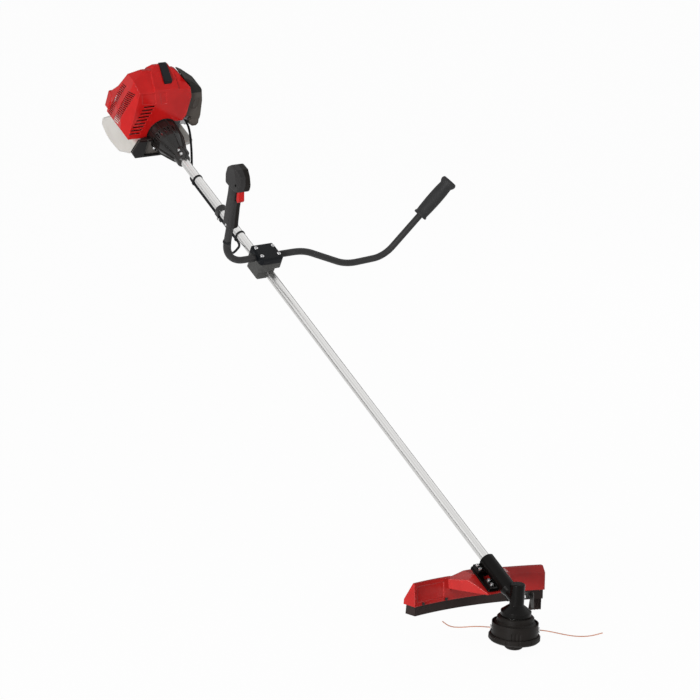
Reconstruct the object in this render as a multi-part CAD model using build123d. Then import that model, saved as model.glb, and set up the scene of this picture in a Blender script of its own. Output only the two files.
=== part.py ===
from build123d import *
import os
from math import atan2, cos, degrees, pi, radians, sin, tan

# Frame: the foot of the bump knob is the origin, +Z the head axis, +X forwards, +Y the operator's left
GEAR_HEIGHT = 118.0
SHAFT_ANGLE = 30.0
HANDLE_ROLL = 6.0

# Clearances
RUN_FIT = 0.05
SLIP_FIT = 0.05
FREE_GAP = 0.4

# Shaft tube, drive shaft and bushings, placed by their distance from the gear centre
TUBE_R = 12.0
TUBE_WALL = 1.5
TUBE_START = 46.0
TUBE_END = 1706.0
DRIVE_R = 4.0
BUSHING_COUNT = 5
BUSHING_LENGTH = 24.0

# Trimmer head, heights above the foot
KNOB_FOOT_R = 15.0
KNOB_R = 23.0
KNOB_ROUND = 9.0
KNOB_LIP_R = 27.0
KNOB_LIP_H = 3.0
BUMP_TRAVEL = 6.0
COVER_BOTTOM = 21.0
COVER_FLOOR = 3.0
COVER_TOP = 36.0
COVER_NOTCHES = 12
DRUM_R = 54.5
COVER_RIM = 6.0
COVER_R = DRUM_R + COVER_RIM
DRUM_WALL = 2.6
DRUM_TOP = 65.0
CAVITY_R = 46.5
CAVITY_TOP = 64.0
CROWN_R = 43.5
CROWN_TOP = 80.0
POST_R = 10.0
POST_BOTTOM = 40.0
SPOOL_R = 45.0
SPOOL_CORE_R = 20.0
SPOOL_TOP = 54.0
SPOOL_FLANGE = 2.2
LINE_R = 1.2
LINE_EXIT_Z = 48.0
LINE_EXIT_ANGLE = 51.5
EYELET_R = 4.5
EYELET_BORE = 1.8
EYELET_FLANGE_R = 6.5
SPRING_R = 14.5
SPRING_WIRE_R = 0.9
SPRING_TURNS = 5

# Spindle and receiver flange
SPINDLE_R = 6.0
SPINDLE_END_R = 5.0
SPINDLE_BOTTOM = 60.0
FLANGE_R = 30.0
FLANGE_T = 4.0

# Gear case
CASE_SKIRT_R = 36.0
CASE_SKIRT_BOTTOM = 81.5
CASE_SKIRT_TOP = 92.0
CASE_CONE_TOP = 104.0
CASE_R = 17.0
CASE_TOP = 157.0
CASE_CAVITY_R = 13.4
NECK_R = 16.0
SLEEVE_R = 19.0
SLEEVE_START = 34.0
SLEEVE_END = 134.0
SLEEVE_SLIT = 2.4
LUG_PAIRS_S = ((58.0, 84.0), (109.0, 134.0))
LUG_HALF = 33.0
LUG_N = (-22.0, -12.0)
LUG_BOLT_R = 26.5
LUG_BOLT_INSET = 6.5

# Bearings: bore radius, outer radius, width
LOWER_BEARING = (6.0, 14.0, 8.0)
LOWER_BEARING_Z = 89.0
UPPER_BEARING = (5.0, 13.0, 8.0)
UPPER_BEARING_Z = 145.0
PINION_BEARING = (4.0, 11.0, 7.0)
PINION_BEARING_S = 25.0
DRUM_BEARING = (6.0, 14.0, 8.0)
DRUM_BEARING_S = TUBE_END + 10

# Bevel pair in the gear case
PINION_TEETH = 14
GEAR_TEETH = 19
CONE_OUTER = 20.0
CONE_INNER = 13.0
BACKLASH = 0.22

# Guard, skirt and cutter, in head coordinates
GUARD_X = -140.0
GUARD_ARC_R = 1000.0
GUARD_HALF = 209.0
GUARD_LEFT = 202.0
GUARD_T = 3.0
GUARD_BOTTOM = 88.0
GUARD_RIDGE = 143.0
GUARD_ROLL = 2.4
GUARD_LEAN = 8.0
GUARD_REAR = 34.0
GUARD_REAR_Z = 100.0
WING_START = 20.0
WING_RIDGE = 28.0
WING_REAR = 40.0
CREASE_LEFT = (-116.0, 142.0)
CREASE_MIDDLE = 119.0
CREASE_END = (190.0, 130.0)
HUMP_HALF_TOP = 38.0
HUMP_HALF_BASE = 94.0
HUMP_FRONT_X = -58.0
HUMP_REAR_X = -150.0
HUMP_RISE = 10.0
HUMP_LOW = 118.0
PAD_N = -26.0
WALL_PANEL_Y = (106.0, 199.0)
WALL_PANEL_Z = (97.0, 133.0)
WALL_PANEL_DEPTH = 1.2
SKIRT_T = 4.0
SKIRT_BOTTOM = 66.0
SKIRT_LAP = 8.0
SKIRT_RETURN = 28.0
FLAP_BOTTOM = 38.0
FLAP_LENGTH = 34.0
FLAP_PLEATS = 4
CUTTER_T = 2.0
CUTTER_TAB = 18.0
CUTTER_REACH = 18.0
CUTTER_LOW = 46.0
SKIRT_SCREWS_Y = (-180.0, -100.0, 100.0)
CUTTER_PLACE = (153.0, 76.0)
BRACKET_MARGIN = 3.0

# Rubber rings and hanger clamp on the tube
RINGS_S = (1348.0, 1589.0)
RING_T = 1.8
RING_WIDTH = 5.0
BAR_TIE_DROP = 49.0
HANGER_S = 1451.0
HANGER_WIDTH = 16.0
HANGER_T = 4.0
HANGER_EAR_DROP = 33.0
HANGER_EAR_HALF = 6.0
HANGER_EAR_SHIFT = -5.0
HANGER_EYE_OUT = 32.0
HANGER_EYE_R = 13.0
HANGER_HOLE_R = 7.0
HANGER_EYE_T = 6.0

# Throttle cable, held under the tube at CABLE_TURN from straight below towards the right
CABLE_R = 3.2
CABLE_TURN = 35.0

# Handlebar: bar tube, its plane's lean to the rear, and where the clamp holds it
BAR_R = 9.0
BAR_WALL = 1.5
BAR_LEAN = 10.0
BAR_N = 36.0
CLAMP_S = 1217.0
CLAMP_LENGTH = 64.0
CLAMP_HALF = 34.5
CLAMP_SHIFT = 5.5
CLAMP_TOP = 54.0
CLAMP_BOTTOM = -18.0
CLAMP_FOOT_SHIFT = 9.5
CLAMP_SPLIT = 0.8
CLAMP_BOLT_S = 16.5
CLAMP_BOLT_R = 25.75

# Handlebar's corners (left of the tube, height over the clamp) and bend radii between them
BAR_END = (556.0, 147.0)
BAR_ELBOW = (386.0, -60.0)
BAR_DIP = (262.0, -66.0)
BAR_KNEE = (112.0, 0.0)
BAR_RIGHT = -135.0
THROTTLE_H = 112.0
BAR_INTO_THROTTLE = 116.0
BAR_BENDS = (80.0, 150.0, 150.0, 60.0)

# Left grip
GRIP_R = 15.2
GRIP_LENGTH = 122.0
GRIP_FLANGE_R = 19.5
GRIP_CAP_R = 22.5
GRIP_GROOVES = 9

# Throttle grip, drawn as (towards the fingers, up) from the bar's axis at the grip's foot
GRIP_HALF = 15.5
HEAD_HALF = 19.5
SHELL_WALL = 2.5
SHELL_ROUND = 9.0
HEAD_ROUND = 5.0
HEAD_FACET = ((-2, 172, 19.5), (34, 116, 19.5), (36, 168, 9))
GRIP_SIDE = [(-16, 0), (-18, 40), (-18, 92), (-21, 118), (18, 118), (13, 98), (14, 56), (18, 18), (21, 0)]
HEAD_SIDE = [(-27, 112), (-33, 136), (-30, 156), (-14, 169), (13, 166), (30, 154), (36, 135), (33, 112),
    (14, 108)]
TRIGGER_PIVOT = (13.0, 124.0)
TRIGGER_PIN_R = 2.0
TRIGGER_HALF = 8.0
TRIGGER_SIDE = [(7, 131), (19, 131), (24, 112), (32, 86), (26, 79), (20, 84), (16, 108), (7, 121)]
TRIGGER_POCKET = [(1, 117), (1, 137), (28, 137), (30, 77), (10, 77), (10, 117)]
LOCK_PIVOT = (-14.0, 126.0)
LOCK_PIN_R = 1.6
LOCK_HALF = 5.0
LOCK_SIDE = [(-10, 129), (-18, 130), (-24.5, 117), (-23, 88), (-18, 86), (-16, 113)]
LOCK_POCKET = [(-9.5, 84), (-31, 80), (-31, 122), (-22, 134), (-9, 133)]
NUB_PLACE = (-6.0, -6.0, -13.5)
NUB_LENGTH = 16.0
SWITCH_PLACE = (2.0, 144.0)
SWITCH_SIZE = (9.0, 9.0)
SWITCH_TRAVEL = 6.0

# Clutch housing, drum and shoes
BELL_START = TUBE_END - 38
BELL_END = TUBE_END + 102
BELL_FLANGE_S = TUBE_END + 96.6
BELL_FLANGE_R = 56.0
BELL_FOOT_S = (TUBE_END + 74, TUBE_END + 86)
BELL_FOOT_R = 65.0
BELL_FOOT_N = (-19.5, -3.0)
BELL_RIBS = 10
BELL_EAR_HALF = 9.0
BELL_EAR_RISE = 17.0
BELL_EAR_N = TUBE_R + BELL_EAR_RISE
BELL_BOLTS_S = (TUBE_END - 30.5, TUBE_END - 15.5)
DRUM_CLUTCH_R = 34.5
DRUM_CLUTCH_WALL = 2.5
DRUM_CLUTCH_S = (TUBE_END + 52, TUBE_END + 85)
SHOE_R = 30.5
SHOE_S = (TUBE_END + 58, TUBE_END + 72)
CARRIER_R = 25.0
CARRIER_T = 4.0

# Engine block
CRANK_R = 10.0
CRANK_END_R = 8.0
CRANK_S = (TUBE_END + 58, TUBE_END + 220)
CASE_END = TUBE_END + 178
CRANKCASE_HALF = 46.0
CYLINDER_S = TUBE_END + 132
CYLINDER_CORE_R = 26.0
FIN_HALF = (29.0, 40.0)
FIN_COUNT = 10
FIN_PITCH = 8.0
FIN_T = 2.4
FIN_START = 54.0
PLUG_RIGHT = 14.0
FLYWHEEL_R = 54.0
FLYWHEEL_S = (TUBE_END + 184, TUBE_END + 212)
FLYWHEEL_BLADES = 14

# Engine cover, drawn as front outline (right, up), side outline (s, up) and plan (s, right)
HOOD_T = 2.5
HOOD_FRONT_S = TUBE_END + 94
HOOD_ARCH_R = 47.0
HOOD_REAR_R = 63.5
HOOD_FRONT = [(40, -12), (104, -12), (116, 2), (121, 60), (115, 164), (80, 181), (-12, 181), (-26, 172),
              (-53, 146), (-64, 114), (-64, 52), (-56, 34), (0, 34)]
HOOD_SIDE = [(TUBE_END + 94, -12), (TUBE_END + 94, 143), (TUBE_END + 144, 180), (TUBE_END + 152, 180),
             (TUBE_END + 183, 107), (TUBE_END + 206, 75), (TUBE_END + 208, -12)]
HOOD_PLAN = [(TUBE_END + 94, -75), (TUBE_END + 94, 105), (TUBE_END + 132, 119), (TUBE_END + 208, 122),
             (TUBE_END + 208, -75)]
NOSE_FRONT = [(62, 120), (57, 174), (44, 187), (-2, 187), (-14, 172), (-18, 120)]
NOSE_SIDE = [(TUBE_END + 94, 130), (TUBE_END + 94, 148), (TUBE_END + 154, 187), (TUBE_END + 160, 187),
             (TUBE_END + 186, 130)]
HOOD_SLOTS = 9
HOOD_SLOT_SIZE = (34.0, 5.0)
HOOD_SLOT_FIRST = (63.0, 94.0)
HOOD_SLOT_STEP = (3.1, -11.0)
SIDE_SLOT_COLUMNS = ((TUBE_END + 155, 27.0), (TUBE_END + 192, 21.0))
SIDE_SLOT_ROWS = 18
SIDE_SLOT_FIRST = 8.0
SIDE_SLOT_PITCH = 7.0
SIDE_SLOT_HEIGHT = 3.6
SIDE_SLOT_LEAN = 0.27
REAR_SLOTS_RIGHT = (68.0, 76.0, 84.0, 92.0, 100.0)
REAR_SLOT_WIDTH = 5.0
REAR_SLOTS_N = (34.0, 104.0)
HOOD_PANELS = ([(97, 137), (56, 138), (44, 101), (86, 104)], [(41, 137), (20, 137), (10, 100), (26, 98)])
HOOD_PANEL_DEPTH = 1.2
HOOD_LUG = (TUBE_END + 198, TUBE_END + 216, 104.0, 121.5, 16.0, 68.0)
BOOT_RIGHT = (3.0, 25.0)
BOOT_SIDE = [(TUBE_END + 108, 154), (TUBE_END + 108, 167), (TUBE_END + 154, 190.5), (TUBE_END + 161, 190.5),
             (TUBE_END + 161, 154)]

# Intake side
CARB_S = (TUBE_END + 118, TUBE_END + 158)
CARB_RIGHT = (-92.0, -60.0)
CARB_N = (-6.0, 27.0)
FILTER_S = (TUBE_END + 108, TUBE_END + 160)
FILTER_FLOOR = 20.2
FILTER_T = 2.5
FILTER_OUT = [(-34, 170.5), (-53, 161), (-97, 131), (-103, 122), (-114, 85), (-122, 34), (-122, FILTER_FLOOR),
              (-94, FILTER_FLOOR), (-94, 34), (-67, 34), (-67, 116), (-55.5, 148), (-34, 166.6)]
FILTER_BASE = [(-122, 20), (-124, 4), (-119, -4), (-106, -4), (-92, 6), (-92, 20)]
FILTER_LATCH = (-92.0, 78.0)
FILTER_GROOVE = 1.0
FILTER_PARTING = (114.0, 115.6)
PRIMER_PLACE = (TUBE_END + 138, -76.0)
PRIMER_R = 9.0
PRIMER_TRAVEL = 4.0
CHOKE_PLACE = (-108.0, 6.0)
CHOKE_R = 7.0
CHOKE_ARM = 34.0
CHOKE_T = 4.0

# Fuel tank and stand
TANK_SIDE = [(TUBE_END + 74, -12), (TUBE_END + 212, -14), (TUBE_END + 262, -64), (TUBE_END + 256, -82),
             (TUBE_END + 228, -93), (TUBE_END + 192, -97), (TUBE_END + 144, -93), (TUBE_END + 100, -66),
             (TUBE_END + 74, -36)]
TANK_RIGHT = (-98.0, 91.0)
TANK_SADDLE_R = 66.0
TANK_ROUND = 9.0
TANK_WALL = 2.8
CAP_PLACE = (TUBE_END + 220, -56.0)
CAP_R = 18.0
CAP_DEPTH = 12.0
NECK_TANK_RISE = 9.0
NECK_TANK_R = 13.6
STAND_S = (TUBE_END + 60, TUBE_END + 74)
STAND_FRONT = [(-34, -52), (90, -52), (100, -38), (86, 2), (40, 2), (-34, -30)]
STAND_ARCH_R = 47.0
STAND_POCKET = [(-29, -47), (64, -47), (64, 4), (-29, -34)]
STAND_POCKET_DEPTH = 8.0

# Starter
STARTER_R = 62.0
STARTER_WALL = 3.0
STARTER_END = TUBE_END + 266
PULLEY_S = (TUBE_END + 236, TUBE_END + 250)
PULLEY_R = 33.0
PULLEY_GROOVE_R = 28.0
AXLE_R = 6.0
ROPE_R = 1.8
ROPE_S = TUBE_END + 243
GUIDE_TOP = 66.0
STARTER_GRIP = (58.0, 15.0, 14.0)

# Fasteners: shank radius, head radius, head height
M5 = (2.5, 4.25, 5.0)
M4 = (2.0, 3.6, 3.0)
M6 = (3.0, 5.0, 6.0)
BOLT_LENGTH = 18.0
SCREW_LENGTH = 10.0

# Lower frame along the tube from the gear centre, upper frame the same turned about the tube
RISE = radians(SHAFT_ANGLE)
LOWER = Plane(origin=(0, 0, GEAR_HEIGHT), x_dir=(-cos(RISE), 0, sin(RISE)), z_dir=(sin(RISE), 0, cos(RISE)))
ROLL = radians(HANDLE_ROLL)
UPPER = Plane(
    origin=LOWER.origin, x_dir=LOWER.x_dir, z_dir=LOWER.z_dir * cos(ROLL) - Vector(0, 1, 0) * sin(ROLL))


def lower(shape):
    """Place a shape drawn along the tube (s, right, up) in the head's frame."""
    return LOWER.location * shape


def upper(shape):
    """Place a shape drawn along the tube (s, right, up) in the engine's and handles' frame."""
    return UPPER.location * shape


def station(s):
    """Cross section of the tube at distance s; its x runs right and its y up."""
    return Plane(origin=(s, 0, 0), x_dir=(0, 1, 0), z_dir=(1, 0, 0))


def flank(r):
    """Side view of the tube at distance r to the right; its x runs along the tube and its y up."""
    return Plane(origin=(0, r, 0), x_dir=(1, 0, 0), z_dir=(0, -1, 0))


def outline(*points, radius=0.0):
    """Closed polygon face with all corners rounded by radius."""
    if radius == 0:
        return make_face(Polyline(*points, close=True))
    return make_face(FilletPolyline(*points, radius=radius, close=True))


def rod(s0, s1, radius, r=0.0, n=0.0):
    """Round bar along the tube."""
    return extrude(station(s0) * Pos(r, n) * Circle(radius), s1 - s0)


def post(z0, z1, radius):
    """Round bar along the head axis."""
    return extrude(Plane.XY.offset(z0) * Circle(radius), z1 - z0)


def across(r0, r1, radius, s, n):
    """Round bar across the tube, from r0 to r1."""
    return extrude(flank(r1) * Pos(s, n) * Circle(radius), r1 - r0)


def upright(n0, n1, radius, s, r):
    """Round bar square to the tube, from n0 up to n1."""
    return extrude(Plane.XY.offset(n0) * Pos(s, r) * Circle(radius), n1 - n0)


def block(s0, s1, r0, r1, n0, n1):
    """Box between two corners."""
    return Pos((s0 + s1) / 2, (r0 + r1) / 2, (n0 + n1) / 2) * Box(s1 - s0, r1 - r0, n1 - n0)


def turned_on_tube(*points, radius=0.0):
    """Solid of revolution about the tube axis from (s, radius) points."""
    face = outline(*[(s, r) for s, r in points], radius=radius)
    return revolve(face, Axis.X)


def turned_on_head(*points, radius=0.0):
    """Solid of revolution about the head axis from (radius, z) points."""
    face = Plane.XZ * outline(*points, radius=radius)
    return revolve(face, Axis.Z)


def screw(size, length):
    """Socket screw with its head's underside at the origin and its shank down -Z."""
    shank_r, head_r, head_h = size
    shank = extrude(Circle(shank_r), -length)
    head = extrude(Circle(head_r), head_h)
    socket = extrude(Plane.XY.offset(head_h) * RegularPolygon(shank_r, 6), -0.6 * head_h)
    return shank + head - socket


def ring_bearing(bore_r, outer_r, width):
    """Sealed ball bearing from z 0 to its width, with the seal's recess on both faces."""
    ring = extrude(Circle(outer_r) - Circle(bore_r + RUN_FIT), width)
    land = 0.22 * (outer_r - bore_r)
    recess = extrude(Circle(outer_r - land) - Circle(bore_r + land), 0.4)
    return ring - recess - Pos(0, 0, width - 0.4) * recess


# Trimmer head


def bump_knob():
    """Domed knob that is tapped on the ground, fluted for grip, with the lip that holds it in the cover."""
    lip_z = COVER_BOTTOM + COVER_FLOOR
    profile = Plane.XZ * make_face(
        Polyline((KNOB_FOOT_R, 0), (0, 0), (0, lip_z + KNOB_LIP_H), (KNOB_LIP_R, lip_z + KNOB_LIP_H),
                 (KNOB_LIP_R, lip_z), (KNOB_R, lip_z), (KNOB_R, KNOB_ROUND))
        + RadiusArc((KNOB_R, KNOB_ROUND), (KNOB_FOOT_R, 0), KNOB_ROUND + 1)
    )
    knob = revolve(profile, Axis.Z)
    flute = Plane.XY.offset(4) * Pos(KNOB_R + 2.2, 0) * Circle(3.6)
    flutes = [Rot(0, 0, i * 45) * extrude(flute, lip_z - 9) for i in range(8)]
    bore = post(lip_z - 6, lip_z + KNOB_LIP_H, POST_R + 3)
    return knob - flutes - bore


def head_cover():
    """Bottom cover: floor with the knob's hole, and the thick notched rim that the drum stands in."""
    top = COVER_BOTTOM + COVER_FLOOR
    ledge = top + 3
    wall_in = CAVITY_R
    cover = turned_on_head(
        (KNOB_R + FREE_GAP, COVER_BOTTOM), (COVER_R - 4, COVER_BOTTOM), (COVER_R, COVER_BOTTOM + 4),
        (COVER_R, COVER_TOP - 3), (COVER_R - 2.5, COVER_TOP), (DRUM_R + SLIP_FIT, COVER_TOP),
        (DRUM_R + SLIP_FIT, ledge), (wall_in, ledge), (wall_in, top), (KNOB_R + FREE_GAP, top))
    notch = Plane.XY.offset(COVER_BOTTOM) * Pos(COVER_R + 1.6, 0) * Circle(3.2)
    step = 360 / COVER_NOTCHES
    notches = [Rot(0, 0, i * step) * extrude(notch, COVER_TOP - COVER_BOTTOM) for i in range(COVER_NOTCHES)]
    pocket = Plane.XY.offset(COVER_BOTTOM) * (
        Pos(38, 0) * SlotOverall(18, 7, rotation=90))
    pockets = [Rot(0, 0, (i + 0.5) * 45) * extrude(pocket, 1.5) for i in range(8)]
    return cover - notches - pockets


def head_housing():
    """Drum with an open gutter round its top, the stepped crown and the post that carries the spool."""
    bottom = COVER_BOTTOM + COVER_FLOOR + 3
    gutter_out = DRUM_R - DRUM_WALL
    gutter_in = CAVITY_R + DRUM_WALL
    housing = turned_on_head(
        (SPINDLE_END_R, POST_BOTTOM), (POST_R, POST_BOTTOM), (POST_R, CAVITY_TOP), (CAVITY_R, CAVITY_TOP),
        (CAVITY_R, bottom), (DRUM_R, bottom), (DRUM_R, DRUM_TOP), (gutter_out, DRUM_TOP),
        (gutter_out, DRUM_TOP - 22), (gutter_in, DRUM_TOP - 22), (gutter_in, DRUM_TOP - 2),
        (CROWN_R, DRUM_TOP + 2), (CROWN_R, CROWN_TOP - 3), (CROWN_R - 3, CROWN_TOP), (SPINDLE_END_R,
            CROWN_TOP))
    window = Rot(0, 90, 0) * extrude(Circle(EYELET_R + SLIP_FIT), DRUM_R + 5)
    for turn in (0, 180):
        housing -= Rot(0, 0, LINE_EXIT_ANGLE + turn) * Pos(POST_R + 20, 0, LINE_EXIT_Z) * window
    finger = Plane.XY.offset(bottom) * Pos(DRUM_R + 3.2, 0) * Circle(4.5)
    grips = [Rot(0, 0, LINE_EXIT_ANGLE + 90 * k + d) * extrude(finger, COVER_TOP + 16 - bottom)
             for k in (1, 3) for d in (-9, 0, 9)]
    web = Plane.XY.offset(DRUM_TOP - 22) * Pos((gutter_in + gutter_out) / 2, 0) * Rectangle(
        gutter_out - gutter_in + 1, 2.2)
    webs = [Rot(0, 0, LINE_EXIT_ANGLE + 30 + 60 * i) * extrude(web, 12) for i in range(6)]
    return housing - grips + webs


def line_eyelets():
    """Two flanged metal bushes that the line runs out through."""
    reach = DRUM_R - CAVITY_R + 2.4
    bush = extrude(Circle(EYELET_R) - Circle(EYELET_BORE), reach)
    lip = Pos(0, 0, reach - 2.2) * extrude(Circle(EYELET_FLANGE_R) - Circle(EYELET_BORE), 2.2)
    eyelet = Pos(CAVITY_R + 0.4, 0, LINE_EXIT_Z) * Rot(0, 90, 0) * (bush + lip)
    seat = post(0, CROWN_TOP, DRUM_R) - post(0, CROWN_TOP, CAVITY_R)
    lip_out = eyelet - seat
    return [Rot(0, 0, LINE_EXIT_ANGLE + turn) * (lip_out + (eyelet & seat)) for turn in (0, 180)]


def spool():
    """Flanged reel with its two layers of wound line and the ratchet that the knob drives."""
    bottom = COVER_BOTTOM + COVER_FLOOR + KNOB_LIP_H
    reel = turned_on_head(
        (POST_R + FREE_GAP, bottom), (SPOOL_R, bottom), (SPOOL_R, bottom + SPOOL_FLANGE),
        (SPOOL_CORE_R, bottom + SPOOL_FLANGE), (SPOOL_CORE_R, SPOOL_TOP - SPOOL_FLANGE),
        (SPOOL_R, SPOOL_TOP - SPOOL_FLANGE), (SPOOL_R, SPOOL_TOP), (SPRING_R + 3, SPOOL_TOP),
        (SPRING_R + 3, SPOOL_TOP - 8), (POST_R + FREE_GAP, SPOOL_TOP - 8))
    pack_r = 36.0
    rows = int((SPOOL_TOP - bottom - 2 * SPOOL_FLANGE) / (2 * LINE_R))
    first = bottom + SPOOL_FLANGE + LINE_R
    wound = [(SPOOL_CORE_R, bottom + SPOOL_FLANGE)]
    for i in range(rows):
        wound += [(pack_r - LINE_R, first + 2 * LINE_R * i - LINE_R), (pack_r, first + 2 * LINE_R * i)]
    wound += [(pack_r - LINE_R, SPOOL_TOP - SPOOL_FLANGE), (SPOOL_CORE_R, SPOOL_TOP - SPOOL_FLANGE)]
    tooth = Plane.XY.offset(SPOOL_TOP) * Pos(SPOOL_R - 6, 0) * Rectangle(6, 5)
    ratchet = [Rot(0, 0, 60 * i) * extrude(tooth, 2) for i in range(6)]
    return reel + turned_on_head(*wound) + ratchet


def bump_spring():
    """Compression spring between the spool's pocket and the roof of the drum."""
    bottom = SPOOL_TOP - 8 + SPRING_WIRE_R
    height = CAVITY_TOP - SPRING_WIRE_R - bottom
    path = Helix(pitch=height / SPRING_TURNS, height=height, radius=SPRING_R)
    start = Plane(origin=path @ 0, z_dir=path % 0)
    return Pos(0, 0, bottom) * sweep(start * RegularPolygon(SPRING_WIRE_R, 6), path=path)


def output_spindle():
    """Stepped spindle with the flat-sided end that the head screws on to."""
    top = UPPER_BEARING_Z + UPPER_BEARING[2]
    return turned_on_head(
        (0, SPINDLE_BOTTOM), (SPINDLE_END_R, SPINDLE_BOTTOM), (SPINDLE_END_R, CROWN_TOP),
        (SPINDLE_R, CROWN_TOP), (SPINDLE_R, UPPER_BEARING_Z), (UPPER_BEARING[0], UPPER_BEARING_Z),
        (UPPER_BEARING[0], top - 0.8), (UPPER_BEARING[0] - 0.8, top), (0, top))


def receiver_flange():
    """Steel flange between gear case and head, with its centring rim and locking holes."""
    flange = turned_on_head(
        (SPINDLE_R, CROWN_TOP), (FLANGE_R, CROWN_TOP), (FLANGE_R, CROWN_TOP + FLANGE_T - 1),
        (FLANGE_R - 1, CROWN_TOP + FLANGE_T), (SPINDLE_R + 6, CROWN_TOP + FLANGE_T),
        (SPINDLE_R + 5, LOWER_BEARING_Z - FREE_GAP), (SPINDLE_R, LOWER_BEARING_Z - FREE_GAP))
    hole = Plane.XY.offset(CROWN_TOP) * Pos(FLANGE_R - 6, 0) * Circle(2.5)
    return flange - [Rot(0, 0, 90 * i) * extrude(hole, FLANGE_T) for i in range(4)]


# Line ends, chosen by hand as points out along the exit (out, sideways, height)
LINE_LEFT = [(50, 0, 48), (65, 0.5, 48.3), (81, 0.2, 48.4), (98, -1.2, 46.8), (115, -2.6, 44),
    (131, -2.4, 42.4),
             (146, 0, 43.4), (159, 3.6, 49), (169, 8.4, 58)]
LINE_RIGHT = [(50, 0, 48), (66, -0.4, 47.6), (84, 0, 45.6), (104, 1.4, 41.8), (124, 2.8, 38.4),
    (144, 3, 36.8),
              (164, 1.4, 38.2), (184, -2.6, 43.4), (203, -8.5, 52.6)]


def cord_radii(points):
    """Largest fitting arc at each inner corner: 0.45 of the shorter run over the tangent of half the turn."""
    radii = []
    for a, b, c in zip(points, points[1:], points[2:]):
        before = Vector(b) - Vector(a)
        after = Vector(c) - Vector(b)
        turn = before.get_angle(after)
        radii.append(0.45 * min(before.length, after.length) / tan(radians(turn / 2)))
    return radii


def cord(name, points, radius):
    """Round tube along straight runs and tangent arcs; prints its arcs and the volume against its length."""
    radii = cord_radii(points)
    path = FilletPolyline(*points, radius=radii)
    start = Plane(origin=path @ 0, z_dir=path % 0)
    tube = sweep(start * Circle(radius), path=path)
    ratio = tube.volume / (pi * radius**2 * path.length)
    print(name, "length", round(path.length, 1), "least arc", round(min(radii), 1), "volume ratio",
        round(ratio, 4))
    return tube


def line_end(name, points, turn):
    """One free end of the cutting line, out of its eyelet."""
    return Rot(0, 0, LINE_EXIT_ANGLE + turn) * cord(name, points, LINE_R)


# Gear case


def gear_case():
    """Cast case: vertical gear housing on a bell skirt, neck towards the tube and slit clamp sleeve."""
    bell = turned_on_head(
        (0, CASE_SKIRT_BOTTOM), (CASE_SKIRT_R, CASE_SKIRT_BOTTOM), (CASE_SKIRT_R, CASE_SKIRT_TOP),
        (CASE_R + 3, CASE_CONE_TOP), (CASE_R, CASE_CONE_TOP + 3), (CASE_R, CASE_TOP - 2),
        (CASE_R - 2, CASE_TOP), (0, CASE_TOP))
    neck = rod(0, SLEEVE_START, NECK_R)
    sleeve = turned_on_tube(
        (SLEEVE_START - 8, 0), (SLEEVE_START - 8, NECK_R), (SLEEVE_START + 4, SLEEVE_R), (SLEEVE_END - 2,
            SLEEVE_R),
        (SLEEVE_END, SLEEVE_R - 2), (SLEEVE_END, 0))
    rib = extrude(flank(2) * outline((6, -10), (70, -SLEEVE_R + 1), (20, -26)), 4)
    lugs = [block(s0, s1, -LUG_HALF, LUG_HALF, *LUG_N) for s0, s1 in LUG_PAIRS_S]
    case = bell + lower(neck + sleeve + rib + lugs)
    case -= post(CASE_SKIRT_BOTTOM, LOWER_BEARING_Z - FREE_GAP, CASE_SKIRT_R - 3.5)
    case -= post(LOWER_BEARING_Z - 1, LOWER_BEARING_Z + LOWER_BEARING[2], LOWER_BEARING[1])
    case -= post(LOWER_BEARING_Z, UPPER_BEARING_Z, LOWER_BEARING[0] + 5)
    case -= post(GEAR_HEIGHT - 12, UPPER_BEARING_Z, CASE_CAVITY_R)
    case -= post(UPPER_BEARING_Z, UPPER_BEARING_Z + UPPER_BEARING[2], UPPER_BEARING[1])
    bore = rod(0, PINION_BEARING_S + PINION_BEARING[2], PINION_BEARING[1])
    bore += rod(PINION_BEARING_S, TUBE_START, PINION_BEARING[1] - 2)
    bore += rod(TUBE_START, SLEEVE_END + 1, TUBE_R + SLIP_FIT)
    slit = block(SLEEVE_START + 56, SLEEVE_END + 1, -SLEEVE_SLIT / 2, SLEEVE_SLIT / 2, LUG_N[0] - 1, 0)
    holes = [upright(LUG_N[0] - 1, LUG_N[1] + 1, M5[0] + SLIP_FIT, s, r) for s, r in lug_bolts()]
    return case - lower(bore + slit + holes)


def lug_bolts():
    """Places (s, r) of the bolts through the gear case's lugs, the guard bracket and the guard."""
    places = []
    for s0, s1 in LUG_PAIRS_S:
        for s in (s0 + LUG_BOLT_INSET, s1 - LUG_BOLT_INSET):
            places += [(s, -LUG_BOLT_R), (s, LUG_BOLT_R)]
    return places


def bevel_gear(teeth, cone_angle, turn):
    """Straight bevel gear round +Z: cone's point at the origin, teeth between the two cone lengths."""
    angle = radians(cone_angle)
    pitch_r = CONE_OUTER * sin(angle)
    module = 2 * pitch_r / teeth
    tip_r = pitch_r + 0.85 * module * cos(angle)
    root_r = pitch_r - 1.2 * module * cos(angle)
    half = pi / (2 * teeth) - BACKLASH / (2 * pitch_r)
    points = []
    for i in range(teeth):
        middle = 2 * pi * i / teeth + radians(turn)
        for r, share in ((root_r, -1.5), (tip_r, -0.5), (tip_r, 0.5), (root_r, 1.5)):
            points.append((r * cos(middle + share * half), r * sin(middle + share * half)))
    outer = outline(*points)
    scale_in = CONE_INNER / CONE_OUTER
    inner = outline(*[(x * scale_in, y * scale_in) for x, y in points])
    top = Plane.XY.offset(CONE_OUTER * cos(angle)) * outer
    bottom = Plane.XY.offset(CONE_INNER * cos(angle)) * inner
    return loft([bottom, top], ruled=True)


# Shaft angle of the bevel pair and the cone angles that follow from the tooth counts
PAIR_ANGLE = 90.0 - SHAFT_ANGLE
PINION_CONE = degrees(atan2(sin(radians(PAIR_ANGLE)), GEAR_TEETH / PINION_TEETH + cos(radians(PAIR_ANGLE))))
GEAR_CONE = PAIR_ANGLE - PINION_CONE


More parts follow.
